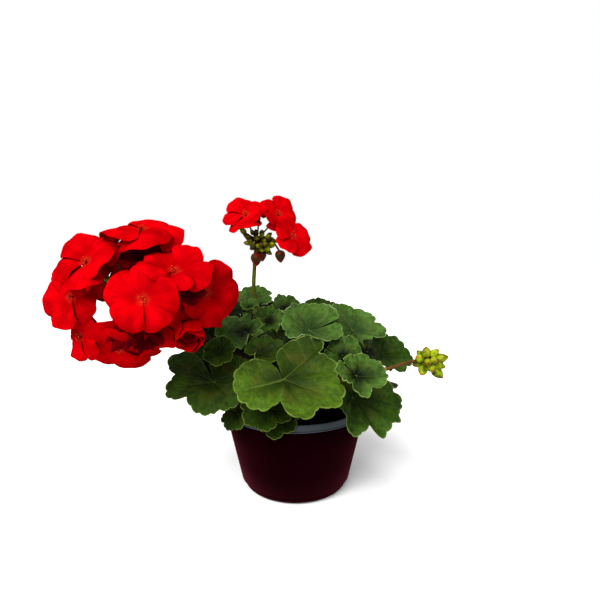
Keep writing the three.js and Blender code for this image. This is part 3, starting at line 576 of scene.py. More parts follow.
def turned_pot(name, profile):
    """profile is a list of (radius, height) in mm, from the underside round the rim to the inside."""
    radius, height = profile[0]
    pot = start_from(bpy.ops.mesh.primitive_circle_add, name, vertices=POT_SIDES,
                     radius=radius * MM, location=(0, 0, height * MM), fill_type="NOTHING")
    bpy.ops.object.transform_apply(location=True)
    bpy.ops.object.mode_set(mode="EDIT")
    bpy.ops.mesh.select_all(action="SELECT")
    bpy.ops.mesh.edge_face_add()
    for next_radius, next_height in profile[1:]:
        bpy.ops.mesh.extrude_region_move(
            TRANSFORM_OT_translate={"value": (0, 0, (next_height - height) * MM)})
        scale = next_radius / radius
        bpy.ops.transform.resize(value=(scale, scale, 1), center_override=(0, 0, next_height * MM))
        radius, height = next_radius, next_height
    bpy.ops.mesh.select_all(action="SELECT")
    bpy.ops.mesh.normals_make_consistent(inside=False)
    bpy.ops.object.mode_set(mode="OBJECT")
    smooth(pot, 40)
    return pot


POT_RIM_RADIUS = 65
POT_BASE_RADIUS = 48.5
POT_HEIGHT = 73
POT_WALL = 1.6
POT_CORNER_RADIUS = 8
FOOT_TOP = 9                 # where the straight wall starts, above the round foot
RIM_ROUND = 0.6


def outer_profile():
    foot = [(POT_BASE_RADIUS - POT_CORNER_RADIUS * (1 - math.sin(math.radians(a))),
             POT_CORNER_RADIUS * (1 - math.cos(math.radians(a)))) for a in range(0, 81, 8)]
    slope = (POT_RIM_RADIUS - POT_BASE_RADIUS) / POT_HEIGHT
    wall = [(POT_BASE_RADIUS + slope * h, h) for h in (FOOT_TOP, 30, 52, POT_HEIGHT - RIM_ROUND)]
    rim = [(POT_RIM_RADIUS - 0.35, POT_HEIGHT), (POT_RIM_RADIUS - POT_WALL, POT_HEIGHT)]
    inside = [(POT_BASE_RADIUS + slope * FOOT_TOP - POT_WALL, FOOT_TOP),
              (POT_BASE_RADIUS - POT_CORNER_RADIUS, POT_WALL)]
    return foot + wall + rim + inside


outer = turned_pot("maroon_pot", outer_profile())
outer.data.materials.append(MAROON_PLASTIC)
hand_over(outer, "maroon_plastic", "outer_pot")
print("maroon pot:", len(outer.data.polygons), "faces")

# %% [markdown]
# ### Grower's pot
# The grower's pot stands inside, and only its collar shows: a band with a thin bead at its foot,
# leaning in a little towards a rounded lip. It is drawn from its own profile in the same way.
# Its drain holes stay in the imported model, as here they would lie unseen between soil and pot.

# %% Grower's pot
COLLAR_BASE = 73.3
COLLAR_TOP = 79.7
COLLAR_RADIUS = 65.2
LINER_BASE_RADIUS = 40
LINER_BASE = 3.1
LINER_NECK_RADIUS = 62.9
LINER_WALL = 1.2

liner = turned_pot("blue_grey_pot", [
    (LINER_BASE_RADIUS - 1, LINER_BASE),
    (LINER_BASE_RADIUS, LINER_BASE + 1),
    (LINER_NECK_RADIUS, COLLAR_BASE - 0.3),
    (LINER_NECK_RADIUS + 0.2, COLLAR_BASE),
    (COLLAR_RADIUS + 0.5, COLLAR_BASE),
    (COLLAR_RADIUS + 0.8, COLLAR_BASE + 0.3),
    (COLLAR_RADIUS + 0.8, COLLAR_BASE + 0.8),
    (COLLAR_RADIUS + 0.5, COLLAR_BASE + 1.1),
    (COLLAR_RADIUS + 0.05, COLLAR_BASE + 1.2),
    (COLLAR_RADIUS - 0.3, COLLAR_TOP - 0.9),
    (COLLAR_RADIUS - 0.45, COLLAR_TOP - 0.3),
    (COLLAR_RADIUS - 0.9, COLLAR_TOP),
    (COLLAR_RADIUS - 1.4, COLLAR_TOP - 0.1),
    (COLLAR_RADIUS - 1.8, COLLAR_TOP - 0.7),
    (COLLAR_RADIUS - 1.7, COLLAR_BASE + 1.8),
    (LINER_NECK_RADIUS - LINER_WALL, COLLAR_BASE),
    (LINER_BASE_RADIUS - LINER_WALL, LINER_BASE + LINER_WALL),
])
liner.data.materials.append(GREY_PLASTIC)
hand_over(liner, "grey_plastic", "growers_pot")
print("grower's pot:", len(liner.data.polygons), "faces")

# %% [markdown]
# ## Soil
# Damp peat with a lumpy top, a little higher in the middle. The plug is a filled circle,
# subdivided and pressed into lumps, then extruded down. A displaced surface alone would look
# smeared, so loose crumbs lie on it: one small faceted shape, copied to places given by a
# golden-angle spiral, which spreads them evenly without rows.

# %% Soil
SOIL_LEVEL = 67
SOIL_BASE = 9
SOIL_DEPTH = SOIL_LEVEL - SOIL_BASE
SOIL_RADIUS = 60
CRUMBS = 420
GOLDEN_ANGLE = 137.508


def soil_height(x, y):
    return (SOIL_LEVEL + 0.9 * math.sin(x * 0.23 + 1) * math.cos(y * 0.19)
            + 0.7 * math.sin((x + y) * 0.41) + 0.35 * math.sin(x * 1.1) * math.sin(y * 1.3)
            - 0.0006 * (x * x + y * y))


def soil_plug():
    plug = start_from(bpy.ops.mesh.primitive_circle_add, "soil_plug", vertices=64,
                      radius=SOIL_RADIUS * MM, location=(0, 0, SOIL_LEVEL * MM), fill_type="TRIFAN")
    bpy.ops.object.transform_apply(location=True)
    bpy.ops.object.mode_set(mode="EDIT")
    bpy.ops.mesh.select_all(action="SELECT")
    bpy.ops.mesh.subdivide(number_cuts=5)
    bpy.ops.object.mode_set(mode="OBJECT")
    for vertex in plug.data.vertices:
        x, y = vertex.co.x / MM, vertex.co.y / MM
        vertex.co.z = soil_height(x, y) * MM
    bpy.ops.object.mode_set(mode="EDIT")
    bpy.ops.mesh.select_all(action="SELECT")
    bpy.ops.mesh.extrude_region_move(TRANSFORM_OT_translate={"value": (0, 0, -SOIL_DEPTH * MM)})
    bpy.ops.transform.resize(value=(0.7, 0.7, 0.02), center_override=(0, 0, SOIL_BASE * MM))
    bpy.ops.mesh.select_all(action="SELECT")
    bpy.ops.mesh.normals_make_consistent(inside=False)
    bpy.ops.object.mode_set(mode="OBJECT")
    return plug


def crumb_blank():
    blank = start_from(bpy.ops.mesh.primitive_ico_sphere_add, "crumb_blank", subdivisions=1, radius=1)
    for i, vertex in enumerate(blank.data.vertices):
        vertex.co *= 1 + 0.25 * vary(i, 4)
    return blank


def scatter_crumbs():
    blank = crumb_blank()
    crumbs = []
    for i in range(CRUMBS):
        radius = (SOIL_RADIUS - 2) * math.sqrt((i + 0.5) / CRUMBS)
        spot = direction(GOLDEN_ANGLE * i + 20 * vary(i, 1)) * radius
        size = 0.7 + 0.9 * (0.5 + 0.5 * vary(i, 2)) ** 2
        crumb = copy_of(blank, f"crumb_{i}")
        place = Vector((spot.x, spot.y, soil_height(spot.x, spot.y) + 0.2 * size))
        shape = Matrix.Diagonal((size, size * (0.7 + 0.2 * vary(i, 3)), size * 0.6, 1))
        turn = Matrix.Rotation(math.pi * vary(i, 5), 4, "Z")
        crumb.data.transform(Matrix.Scale(MM, 4) @ Matrix.Translation(place) @ turn @ shape)
        crumbs.append(crumb)
    discard(blank)
    return crumbs


soil = join_as("peat_soil", [soil_plug(), *scatter_crumbs()])
soil.data.materials.clear()
soil.data.materials.append(DAMP_SOIL)
smooth(soil, 35)
hand_over(soil, "soil", "soil")
print("soil:", len(soil.data.polygons), "faces")

# %% [markdown]
# ## Stalks
# Every stalk of the plant is a bowed rod with a round section that tapers along it. A cylinder
# could be extruded and turned step by step, but a Bezier curve with a bevel depth and a radius
# at each point bows smoothly by itself. It is turned to a mesh at once, so that it can be joined
# to its leaf or flower.

# %% A stalk from points and radii
def stalk(name, points, radii, material, resolution=6, round_steps=2):
    """points in mm; radii in mm, one for each point."""
    rod = start_from(bpy.ops.curve.primitive_bezier_curve_add, name, location=(0, 0, 0))
    curve = rod.data
    curve.dimensions = "3D"
    curve.bevel_depth = MM
    curve.bevel_resolution = round_steps
    curve.resolution_u = resolution
    curve.use_fill_caps = True
    spline = curve.splines[0]
    spline.bezier_points.add(len(points) - 2)
    for knot, place, radius in zip(spline.bezier_points, points, radii):
        knot.co = Vector(place) * MM
        knot.radius = radius
        knot.handle_left_type = knot.handle_right_type = "AUTO"
    bpy.ops.object.convert(target="MESH")
    rod = bpy.context.object
    rod.data.materials.clear()
    rod.data.materials.append(material)
    bpy.ops.object.shade_smooth()
    return rod


print("stalk helper ready")

# %% [markdown]
# ## Stem
# A short woody trunk stands in the soil and forks into three shoots, each thicker at its joints.
# They are hidden in a front view but can be seen between the leaves from the side. They are
# drawn as stalks with a radius at each joint, so every leaf can find its root along one.

# %% Stem
FORK = (0, 0, 80)
SHOOTS = {
    "left": [FORK, (-9, -5, 91), (-19, -11, 105), (-27, -16, 122)],
    "right": [FORK, (9, -5, 91), (20, -12, 103), (30, -16, 116)],
    "back": [FORK, (0, 8, 93), (-4, 15, 111), (-9, 19, 132)],
}
SHOOT_RADIUS = 3.4
JOINT_SPACING = 3            # every third knot of a shoot is a joint


def along_shoot(name, share):
    """The place at a share of a shoot's length, from its fork."""
    points = [Vector(p) for p in SHOOTS[name]]
    lengths = [(b - a).length for a, b in zip(points, points[1:])]
    wanted = share * sum(lengths)
    for a, b, length in zip(points, points[1:], lengths):
        if wanted <= length:
            return a.lerp(b, wanted / length)
        wanted -= length
    return points[-1]


def stem():
    parts = [stalk("trunk", [(0, 0, 40), (0, 0, 60), (0.3, 0, 72), FORK], [5.2, 5.5, 5.3, 4.4],
                   WOODY_STEM, 8, 5)]
    for name in SHOOTS:
        points = []
        radii = []
        for k in range(13):
            points.append(along_shoot(name, k / 12))
            swelling = 0.9 if k % JOINT_SPACING else 1.08
            radii.append(SHOOT_RADIUS * swelling * (1 if k < 12 else 0.75))
        tip = (points[-1] - points[-2]).normalized()
        points.append(points[-1] + tip * 1.6)
        radii.append(1.2)
        parts.append(stalk(f"shoot_{name}", points, radii, WOODY_STEM, 4, 4))
    return join_as("woody_stem", parts)


plant_stem = stem()
hand_over(plant_stem, "stem", "stem")
print("stem:", len(plant_stem.data.polygons), "faces")

# %% [markdown]
# ## Leaves
# Each leaf is one blade on one stalk. A blade could be sculpted, but forty of them follow one
# plan, so a flat grid, the blank, is bent by a formula. Its columns become rays round the notch
# and its rows become rings, from the notch out to the scalloped edge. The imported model's leaves
# use the same dish, pleats and lobes, and here finer pleats and a frilled edge are added.

# %% The leaf's edge and its rise and fall
LAST_ANGLE = 175             # the last ray on each side of the notch
SCALLOP_ANGLE = LOBE_ANGLE / 3
SCALLOP_DEPTH = 0.05
PLEAT_DEPTH = 0.035
LEAF_THICKNESS = 0.6
BLADE_RAYS = 126             # six for each scallop
BLADE_RINGS = 16
EVEN_LOBES = [(25 * i - LAST_ANGLE,
               (1 if i % 2 else 0.85) * (1 - 0.07 * (1 - math.cos(math.radians(25 * i - LAST_ANGLE)))))
              for i in range(15)]


def lobe_at(angle, lobes):
    """Where a ray lies among the lobes, and how far out the edge is there, in leaf sizes.

    lobes holds an angle and a reach for each notch and each tip between notches, in turn.
    """
    end = next((i for i, corner in enumerate(lobes) if corner[0] >= angle - 1e-6), len(lobes) - 1)
    end = max(1, end)
    (first, first_share), (last, last_share) = lobes[end - 1], lobes[end]
    part = clamp((angle - first) / (last - first), 0, 1)
    phase = part if end % 2 else 1 - part
    notch, tip = (first_share, last_share) if end % 2 else (last_share, first_share)
    lobe = notch + (tip - notch) * math.sin(math.pi / 2 * phase) ** 0.7
    scallop = abs(math.cos(math.pi * angle / SCALLOP_ANGLE)) ** 0.7
    return (end - 1 + part) / 2, lobe * (1 - SCALLOP_DEPTH * (1 - scallop))


def leaf_height(leaf, lobe, angle, share):
    turn = math.radians(angle)
    dish = leaf["cup"] * share ** 1.6
    pleat = PLEAT_DEPTH * share * math.cos(2 * math.pi * lobe)
    wave = leaf["wave"] * share ** 3 * math.cos(3 * turn + leaf["phase"])
    droop = leaf["droop"] * share ** 2 * max(0, math.cos(turn)) ** 2
    return leaf["size"] * (dish + pleat + wave - droop)


def leaf_relief(leaf, lobe, angle, share):
    """Fine relief: sunken veins, cushions between the side veins, a frilled edge."""
    local = math.radians(LOBE_ANGLE) * (lobe % 1 - 0.5)
    side = share * abs(math.sin(local))
    along = share * math.cos(local)
    groove = 0.018 * math.exp(-((side / 0.03) ** 2)) * ease(share * 8) * (1 - 0.5 * share)
    cushion = abs(math.sin(math.pi * (along - SIDE_VEIN_SLANT * side) / SIDE_VEIN_SPACING))
    frill = math.sin(9 * math.radians(angle) + 5 * leaf["phase"]) * share ** 4
    frill += 0.45 * math.sin(23 * math.radians(angle) + 3 * leaf["phase"]) * share ** 7
    return leaf["size"] * (0.011 * cushion * ease(share * 3) - groove + leaf["frill"] * frill)


print("a blade has", BLADE_RAYS * BLADE_RINGS, "faces on each side")

# %% [markdown]
# ### Where the leaves are
# Leaves turn to the light, so most look up and outwards, and the lower ones hang steeper. They
# could be scattered by a rule, but each one's place and outline matter here, so a table gives
# them. The large leaves list their own lobes, as angles from the rib and the edge's reach there.
# Small leaves inside the mound, such as every plant has, close the gaps between the others, and
# their near black is painted shade.

# %% The leaves' places
def leaf(material, notch, size, tilt, towards, rib, cup, shoot, frill=0.018, lobes=EVEN_LOBES):
    """A leaf's notch in mm, size, tilt and its bearing, rib bearing, cup, shoot, frill and lobes."""
    return {"material": material, "notch": Vector(notch), "size": size,
            "up": direction(towards, 90 - tilt), "bearing": rib, "cup": cup, "shoot": shoot,
            "frill": frill, "lobes": lobes}


LEAVES = {
    "front_middle": leaf(LIGHT_LEAF, (-8, -80, 123), 46, 31, 268, 292, 0.08, "left",
        lobes=[(-175, 0.35), (-95, 0.86), (-30, 0.5), (3, 0.97), (14, 0.9), (38, 1.08), (66, 0.87),
               (79, 0.96), (102, 0.7), (113, 1.05), (175, 0.35)]),
    "front_left": leaf(DARK_LEAF, (-66.5, -54, 113), 37, 38, 250, 283, 0.06, "left",
        lobes=[(-175, 0.6), (-149, 1.55), (-134, 1.02), (-115, 1.16), (-74, 0.66), (-40, 0.82),
               (-12, 0.7), (20, 0.85), (60, 0.68), (85, 0.9), (118, 0.8), (146, 0.92), (175, 0.55)]),
    "low_left": leaf(DARK_LEAF, (-48, -48, 83), 16, 40, 235, 230, 0.1, "left"),
    "low_front": leaf(DARK_LEAF, (-22, -66, 97), 24, 40, 265, 270, 0.12, "left"),
    "rim_front": leaf(DARK_LEAF, (-14, -57, 84), 21, 30, 265, 262, 0.1, "left"),
    "low_right": leaf(MID_LEAF, (47, -62, 102), 41, 46, 300, 338, 0.1, "right",
        lobes=[(-175, 0.4), (-130, 0.5), (-95, 0.52), (-72, 0.8), (-45, 0.6), (-32, 0.97), (-13, 0.86),
               (4, 1.07), (15, 1), (29, 1.18), (39, 1.04), (50, 1.14), (74, 0.7), (100, 0.72),
               (130, 0.4), (150, 0.42), (175, 0.35)]),
    "front_right": leaf(CUPPED_LEAF, (46.8, -86, 127.6), 24, 32, 285, 322, 0.25, "right", frill=0.045,
        lobes=[(-175, 0.62), (-145, 0.72), (-115, 0.6), (-95, 0.72), (-75, 0.64), (-50, 0.98),
               (-15, 0.64), (35, 1), (62, 0.88), (90, 0.9), (130, 0.62), (155, 0.66), (175, 0.6)]),
    "folded_right": leaf(CUPPED_LEAF, (40, -48, 134), 17, 35, 240, 340, 0.4, "right", frill=0.09),
    "side_right": leaf(MID_LEAF, (78, -8, 125), 29.3, 47, 305, 345, 0.15, "right",
        lobes=[(-175, 0.6), (-130, 0.7), (-80, 0.5), (-50, 0.62), (-38, 0.6), (-18, 0.9), (-8, 0.88),
               (24, 1.12), (42, 1.02), (60, 1.12), (80, 0.78), (92, 0.86), (108, 0.62), (150, 0.85),
               (175, 0.55)]),
    "upper_right": leaf(SKY_REFLECTION_LEAF, (52, -8, 147), 30, 40, 285, 80, 0.15, "right",
        lobes=[(-175, 0.5), (-130, 0.75), (-100, 0.6), (-74, 1.02), (-44, 0.76), (-10, 1.08),
               (14, 0.85), (48, 1.08), (90, 0.6), (130, 0.7), (175, 0.45)]),
    "upper_middle": leaf(SKY_REFLECTION_LEAF, (12, -20, 150), 31, 22, 268, 180, 0.3, "back",
        lobes=[(-175, 0.82), (-150, 0.95), (-138, 0.88), (-112, 1.08), (-98, 1), (-75, 1.25),
               (-60, 1.08), (-45, 1), (-25, 0.75), (0, 0.78), (25, 0.72), (55, 0.85), (80, 0.8),
               (128, 1.15), (175, 0.8)]),
    "top_middle": leaf(DARK_LEAF, (24, 25, 158.5), 22, 20, 268, 80, 0.2, "back"),
    "top_left": leaf(SKY_REFLECTION_LEAF, (-47, 35, 165.5), 30, 26, 250, 130, 0.12, "back"),
    "top_young": leaf(CUPPED_LEAF, (-11, 25, 161), 19, 38, 262, 100, 0.15, "back", frill=0.08),
    "upper_left": leaf(CUPPED_LEAF, (-43, -25, 149), 27, 22, 255, 250, 0.14, "back", frill=0.06,
        lobes=[(-175, 0.6), (-158, 0.95), (-142, 0.9), (-112, 1.12), (-90, 0.95), (-67, 1), (-40, 0.68),
               (8, 0.85), (42, 0.38), (80, 0.66), (108, 0.48), (128, 0.65), (150, 0.55), (164, 0.6),
               (175, 0.4)]),
    "curled_middle": leaf(CUPPED_LEAF, (-23.5, -7, 155.5), 16, 44, 268, 250, 0.32, "left", frill=0.1),
    "curled_left": leaf(CUPPED_LEAF, (-41, -8, 168), 9, 25, 262, 290, 0.5, "back", frill=0.1),
    "inner_front": leaf(DARK_LEAF, (-28, -47, 135), 18, 38, 268, 55, 0.3, "left", frill=0.07,
        lobes=[(-175, 0.35), (-145, 0.66), (-120, 0.58), (-72, 1.08), (-50, 0.95), (-20, 1.15),
               (5, 0.95), (25, 1), (50, 0.75), (75, 0.82), (95, 0.7), (120, 0.8), (175, 0.35)]),
    "side_left": leaf(DARK_LEAF, (-74, -9, 139.5), 25, 40, 240, 235, 0.12, "left"),
    "left_deep": leaf(SHADED_LEAF, (-50, 7, 134), 19, 45, 262, 240, 0.1, "back"),
    "middle_deep": leaf(SHADED_LEAF, (-2, -36, 133), 18, 40, 270, 250, 0.1, "left"),
    "right_deep": leaf(SHADED_LEAF, (62, -37, 134), 15, 45, 290, 300, 0.1, "back"),
    "back_left": leaf(MID_LEAF, (-80, 32, 144), 22, 25, 170, 190, 0.1, "back"),
    "low_side_right": leaf(DARK_LEAF, (74, 20, 100), 30, 35, 10, 10, 0.1, "right"),
    "back_right": leaf(MID_LEAF, (56, 48, 132), 30, 35, 45, 45, 0.12, "back"),
    "back_middle": leaf(MID_LEAF, (5, 71, 127.5), 34, 40, 88, 88, 0.1, "back"),
    "back_far_left": leaf(DARK_LEAF, (-49, 62, 122), 32, 38, 130, 130, 0.1, "back"),
    "low_back": leaf(DARK_LEAF, (29, 66, 92), 26, 40, 70, 70, 0.1, "back"),
    "low_back_left": leaf(DARK_LEAF, (-71, 28, 96), 27, 38, 160, 160, 0.1, "back"),
}


def settle(leaf, index):
    """Adds what follows from a leaf's place and its number in the table."""
    rib = direction(leaf["bearing"])
    middle = along_shoot(leaf["shoot"], 0.5)
    reach = leaf["notch"] - middle
    rise = math.atan2(reach.z, math.hypot(reach.x, reach.y))
    leaf["rib"] = (rib - leaf["up"] * rib.dot(leaf["up"])).normalized()
    leaf["root"] = clamp(0.45 + 0.6 * rise, 0.12, 0.96)
    leaf["wave"] = 0.07 + 0.03 * vary(index, 1)
    leaf["phase"] = math.pi * vary(index, 2)
    leaf["droop"] = 0.1 + 0.06 * vary(index, 3)


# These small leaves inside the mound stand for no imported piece.
INNER_LEAVES = {
    "inner_left": leaf(SHADED_LEAF, (-80, -10, 135), 22, 60, 262, 262, 0.1, "left"),
    "inner_middle": leaf(SHADED_LEAF, (-16, -27, 136), 20, 60, 268, 268, 0.1, "left"),
    "inner_back_left": leaf(SHADED_LEAF, (-64, 16, 160), 17, 50, 262, 262, 0.1, "back"),
    "inner_right": leaf(SHADED_LEAF, (33, -12, 138), 18, 50, 275, 275, 0.1, "right"),
    "inner_high_right": leaf(SHADED_LEAF, (33, 10, 149), 14, 50, 275, 275, 0.1, "right"),
    "inner_front_right": leaf(SHADED_LEAF, (44.5, -62, 129), 12, 50, 275, 275, 0.1, "right"),
    "inner_front_left": leaf(SHADED_LEAF, (-73, -32, 119), 13, 50, 262, 262, 0.1, "left"),
    "inner_by_stalk": leaf(DARK_LEAF, (-61, -55, 139), 15, 42, 262, 262, 0.2, "left"),
    "inner_low_left": leaf(SHADED_LEAF, (-63, -34, 101), 20, 55, 255, 255, 0.1, "left"),
    "inner_back": leaf(SHADED_LEAF, (-36, 14, 156), 18, 50, 265, 265, 0.1, "back"),
    "inner_low_middle": leaf(SHADED_LEAF, (-16, -56, 124), 15, 55, 268, 268, 0.1, "left"),
}

for index, entry in enumerate([*LEAVES.values(), *INNER_LEAVES.values()]):
    settle(entry, index)
print(len(LEAVES), "leaves and", len(INNER_LEAVES), "inner ones have their places")

# %% [markdown]
# ### Blades and their stalks
# One blank is copied for every leaf and the copy's vertices are moved to the formula's places,
# which keeps its faces and its UV map in step. All rays meet at the notch, so the doubles there
# are merged before Solidify gives the blade its thickness. A leaf stalk leaves its shoot outwards
# and comes up under the notch in one bow, which is worked out like a Bezier curve's.

# %% Blades and their stalks
LEAF_STALK_RADII = (1.9, 1.5, 1.35, 1.3, 1.25, 1.2, 1.15, 0.9)
leaf_blank = grid_blank("leaf_blank", BLADE_RAYS, BLADE_RINGS)


def leaf_blade(name, leaf):
    blade = copy_of(leaf_blank, name)
    to_place = Matrix.Scale(MM, 4) @ frame_at(leaf["notch"], leaf["rib"], leaf["up"])
    plan = []
    for vertex in blade.data.vertices:
        angle = -2 * LAST_ANGLE * vertex.co.x
        share = clamp(vertex.co.y + 0.5, 0, 1)
        lobe, edge = lobe_at(angle, leaf["lobes"])
        plan.append((lobe, share))
        reach = leaf["size"] * edge * share
        height = leaf_height(leaf, lobe, angle, share) + leaf_relief(leaf, lobe, angle, share)
        turn = math.radians(angle)
        vertex.co = to_place @ Vector((reach * math.cos(turn), reach * math.sin(turn), height))
    for corner, loop in zip(blade.data.uv_layers.active.data, blade.data.loops):
        corner.uv = plan[loop.vertex_index]
    merge_doubles(blade, 0.02)
    apply_modifier(blade, "SOLIDIFY", thickness=LEAF_THICKNESS * MM, offset=0)
    blade.data.materials.append(leaf["material"])
    smooth(blade, 60)
    return blade


def leaf_stalk(name, leaf):
    inside = along_shoot(leaf["shoot"], leaf["root"])
    out = leaf["notch"] - inside
    out.z = 0
    out.normalize()
    root = inside + out * SHOOT_RADIUS * 0.5
    reach = (leaf["notch"] - root).length
    start = root + out * reach * 0.3 + Vector((0, 0, reach * 0.12))
    end = leaf["notch"] - leaf["up"] * reach * 0.22 - leaf["rib"] * reach * 0.1
    places = []
    for k in range(len(LEAF_STALK_RADII)):
        t = k / (len(LEAF_STALK_RADII) - 1)
        places.append(root * (1 - t) ** 3 + start * 3 * t * (1 - t) ** 2 + end * 3 * t * t * (1 - t)
                      + leaf["notch"] * t ** 3)
    return stalk(name, places, LEAF_STALK_RADII, GREEN_STALK, 4, 3)


total_faces = 0
for name, entry in {**LEAVES, **INNER_LEAVES}.items():
    piece = join_as(f"{name}_leaf", [leaf_blade(name, entry), leaf_stalk(name + "_stalk", entry)])
    hand_over(piece, "leaf", *(["leaf_" + name] if name in LEAVES else []))
    total_faces += len(piece.data.polygons)
discard(leaf_blank)
print("leaves:", total_faces, "faces")

# %% [markdown]
# ## Petals and florets
# A floret has five broad petals on narrow claws, which overlap like a pinwheel's, each with one
# side over its neighbour. Cloth simulation could crumple them, but would not keep them in place.
# So each is the same flat grid, bent by a formula: its columns fan out from the throat, its rows
# run round the floret, and the far row bows into a rounded, slightly notched tip.

# %% A floret's petals
PETALS = 5
PETAL_THICKNESS = 0.5
PINWHEEL = 0.12
CLAW = 0.72
TUCKED_SHARE = 0.6           # how long a petal looks that is folded back at its tip
CLOSED_CUP = 50              # a floret that rises more than this is still half closed, like a tube
petal_blank = grid_blank("petal_blank", 16, 14)


def floret_place(floret):
    """The matrix from a floret's own frame in mm, with its stalk along -Z, to its place."""
    facing = direction(floret["to"], floret["raised"])
    across = Vector((0, 0, 1)).cross(facing).normalized()
    over = facing.cross(across)
    turn = math.radians(floret["turn"])
    first_petal = across * math.cos(turn) + over * math.sin(turn)
    return Matrix.Scale(MM, 4) @ frame_at(floret["at"], first_petal, facing)


def open_petal(floret, petal, across, along):
    """A place on a petal, in petal lengths: across runs from -1 to 1 and along from 0 to 1."""
    odd = [vary(petal, floret["turn"] + use) for use in range(8)]
    spread = CLAW + (1 - CLAW) * ease(along / 0.45)
    aside_angle = -across * math.radians(floret["wide"] + 6 * odd[3]) * spread
    notch = (0.02 + 0.025 * odd[6]) * math.exp(-((across / 0.2) ** 2))
    tip = 1 - 0.22 * abs(across) ** 3.4 - notch + 0.05 * across * odd[4]
    length = along * tip * (1 + 0.08 * odd[5])
    if petal in floret["tucked"]:
        length *= TUCKED_SHARE
    aside = length * math.sin(aside_angle)
    lift = math.radians(floret["cup"]) + 0.14 * odd[0]
    ruffle = floret["ruffle"] * along ** 3 * math.sin(4.2 * across + 3 * odd[1])
    ruffle += 0.45 * floret["ruffle"] * along ** 4 * math.sin(11 * across + 3 * odd[2])
    crease = 0.012 * along * math.cos(3 * math.pi * across + odd[7])
    arch = 0.07 * math.sin(math.pi * along ** 1.3) - (0.1 + 0.09 * odd[7]) * along ** 5
    height = length * math.sin(lift) + PINWHEEL * aside - 0.3 * aside * aside + arch + ruffle + crease
    return length * math.cos(lift), height - floret["droop"] * along ** 2, aside_angle + 0.1 * odd[1]


def closed_petal(floret, petal, across, along):
    """The same for a floret that opens: the petals wrap round each other like a rolled tube."""
    roll = 1 + 0.18 * across + 0.04 * vary(petal, 3)
    reach = 0.52 * roll * math.sin(math.pi / 2 * min(1, 1.5 * along)) * (1 - 0.12 * along ** 3)
    reach += 0.04 * along ** 6 * math.sin(6 * across + petal)
    height = 0.95 * along ** 1.25 * (1 - 0.1 * abs(across) ** 3) + 0.04 * vary(petal, 5)
    return reach, height, -1.1 * across


def petal_place(floret, petal, across, along):
    shape = closed_petal if floret["cup"] > CLOSED_CUP else open_petal
    reach, height, aside_angle = shape(floret, petal, across, along)
    angle = 2 * math.pi / PETALS * petal + aside_angle
    return Vector((reach * math.cos(angle), reach * math.sin(angle), height))


def floret_petals(name, floret):
    to_place = floret_place(floret) @ Matrix.Scale(floret["size"], 4)
    petals = []
    for petal in range(PETALS):
        blade = copy_of(petal_blank, f"{name}_{petal}")
        for vertex in blade.data.vertices:
            along = 0.03 + 0.97 * clamp(vertex.co.y + 0.5, 0, 1)
            vertex.co = to_place @ petal_place(floret, petal, 2 * vertex.co.x, along)
        petals.append(blade)
    whole = join_as(name, petals)
    apply_modifier(whole, "SOLIDIFY", thickness=PETAL_THICKNESS * MM, offset=0)
    whole.data.materials.append(floret["finish"])
    smooth(whole, 60)
    return whole


print("a floret has", PETALS * len(petal_blank.data.polygons), "petal faces on each side")

# %% [markdown]
# ### Stamens
# In a floret's throat stand a few short stamens with orange anthers. They are too small to
# sculpt one by one, so one tuft is modelled and copied: each stamen is a thin stalk, and its
# anther a small sphere stretched across the thread.

# %% Stamens
STAMENS = 5
ANTHER_RADIUS = 0.42


def stamen_blank():
    parts = []
    for k in range(STAMENS):
        lean = direction(360 * k / STAMENS + 20 * vary(k, 1), 62 + 10 * vary(k, 2))
        top = lean * (4.5 + vary(k, 3))
        thread = [(0, 0, 0), lean * 3 + Vector((0, 0, 0.5)), top]
        parts.append(stalk(f"thread_{k}", thread, [0.3, 0.25, 0.2], RED_PETAL, 2, 0))
        anther = start_from(bpy.ops.mesh.primitive_uv_sphere_add, f"anther_{k}",
                            segments=6, ring_count=4, radius=ANTHER_RADIUS * MM)
        anther.data.transform(Matrix.Translation(top * MM) @ Matrix.Diagonal((1, 1.6, 0.9, 1)))
        anther.data.materials.append(ANTHER)
        parts.append(anther)
    return join_as("stamen_blank", parts)


stamens_blank = stamen_blank()


def floret_stamens(name, floret):
    tuft = copy_of(stamens_blank, name)
    tuft.data.transform(floret_place(floret) @ Matrix.Scale(1 / MM, 4))
    return tuft


print("a tuft of stamens has", len(stamens_blank.data.polygons), "faces")

# %% [markdown]
# ## Calyxes and buds
# Behind each floret five narrow sepals bend back from the end of its stalk. A bud is the same
# calyx still closed: an egg with five ridges and a point. Five petals could be rolled up inside
# it, but they don't show, so it is a sphere, drawn out and ridged by moving its vertices. Both
# are modelled once and copied.

# %% Sepals and buds
CALYX_LENGTH = 6
SEPALS = 5
SEPAL_THICKNESS = 0.4
BUD_WIDTH = 0.68             # of its length
sepal_grid = grid_blank("sepal_grid", 4, 5)


def sepal_blank():
    sepals = []
    for k in range(SEPALS):
        sepal = copy_of(sepal_grid, f"sepal_{k}")
        for vertex in sepal.data.vertices:
            along = vertex.co.y + 0.5
            width = 1.3 * math.sin(math.pi * (0.12 + 0.86 * along)) ** 0.8
            across = -2 * vertex.co.x * width
            out = 1.6 + 2.2 * along ** 1.5
            spot = Vector((out, across, -CALYX_LENGTH + 1.5 + 6.2 * along - 0.3 * across * across))
            vertex.co = Matrix.Rotation(math.radians(360 / SEPALS * k), 3, "Z") @ spot * MM
        sepals.append(sepal)
    whole = join_as("sepal_blank", sepals)
    apply_modifier(whole, "SOLIDIFY", thickness=SEPAL_THICKNESS * MM, offset=0)
    whole.data.materials.append(SEPAL_GREEN)
    smooth(whole, 60)
    return whole


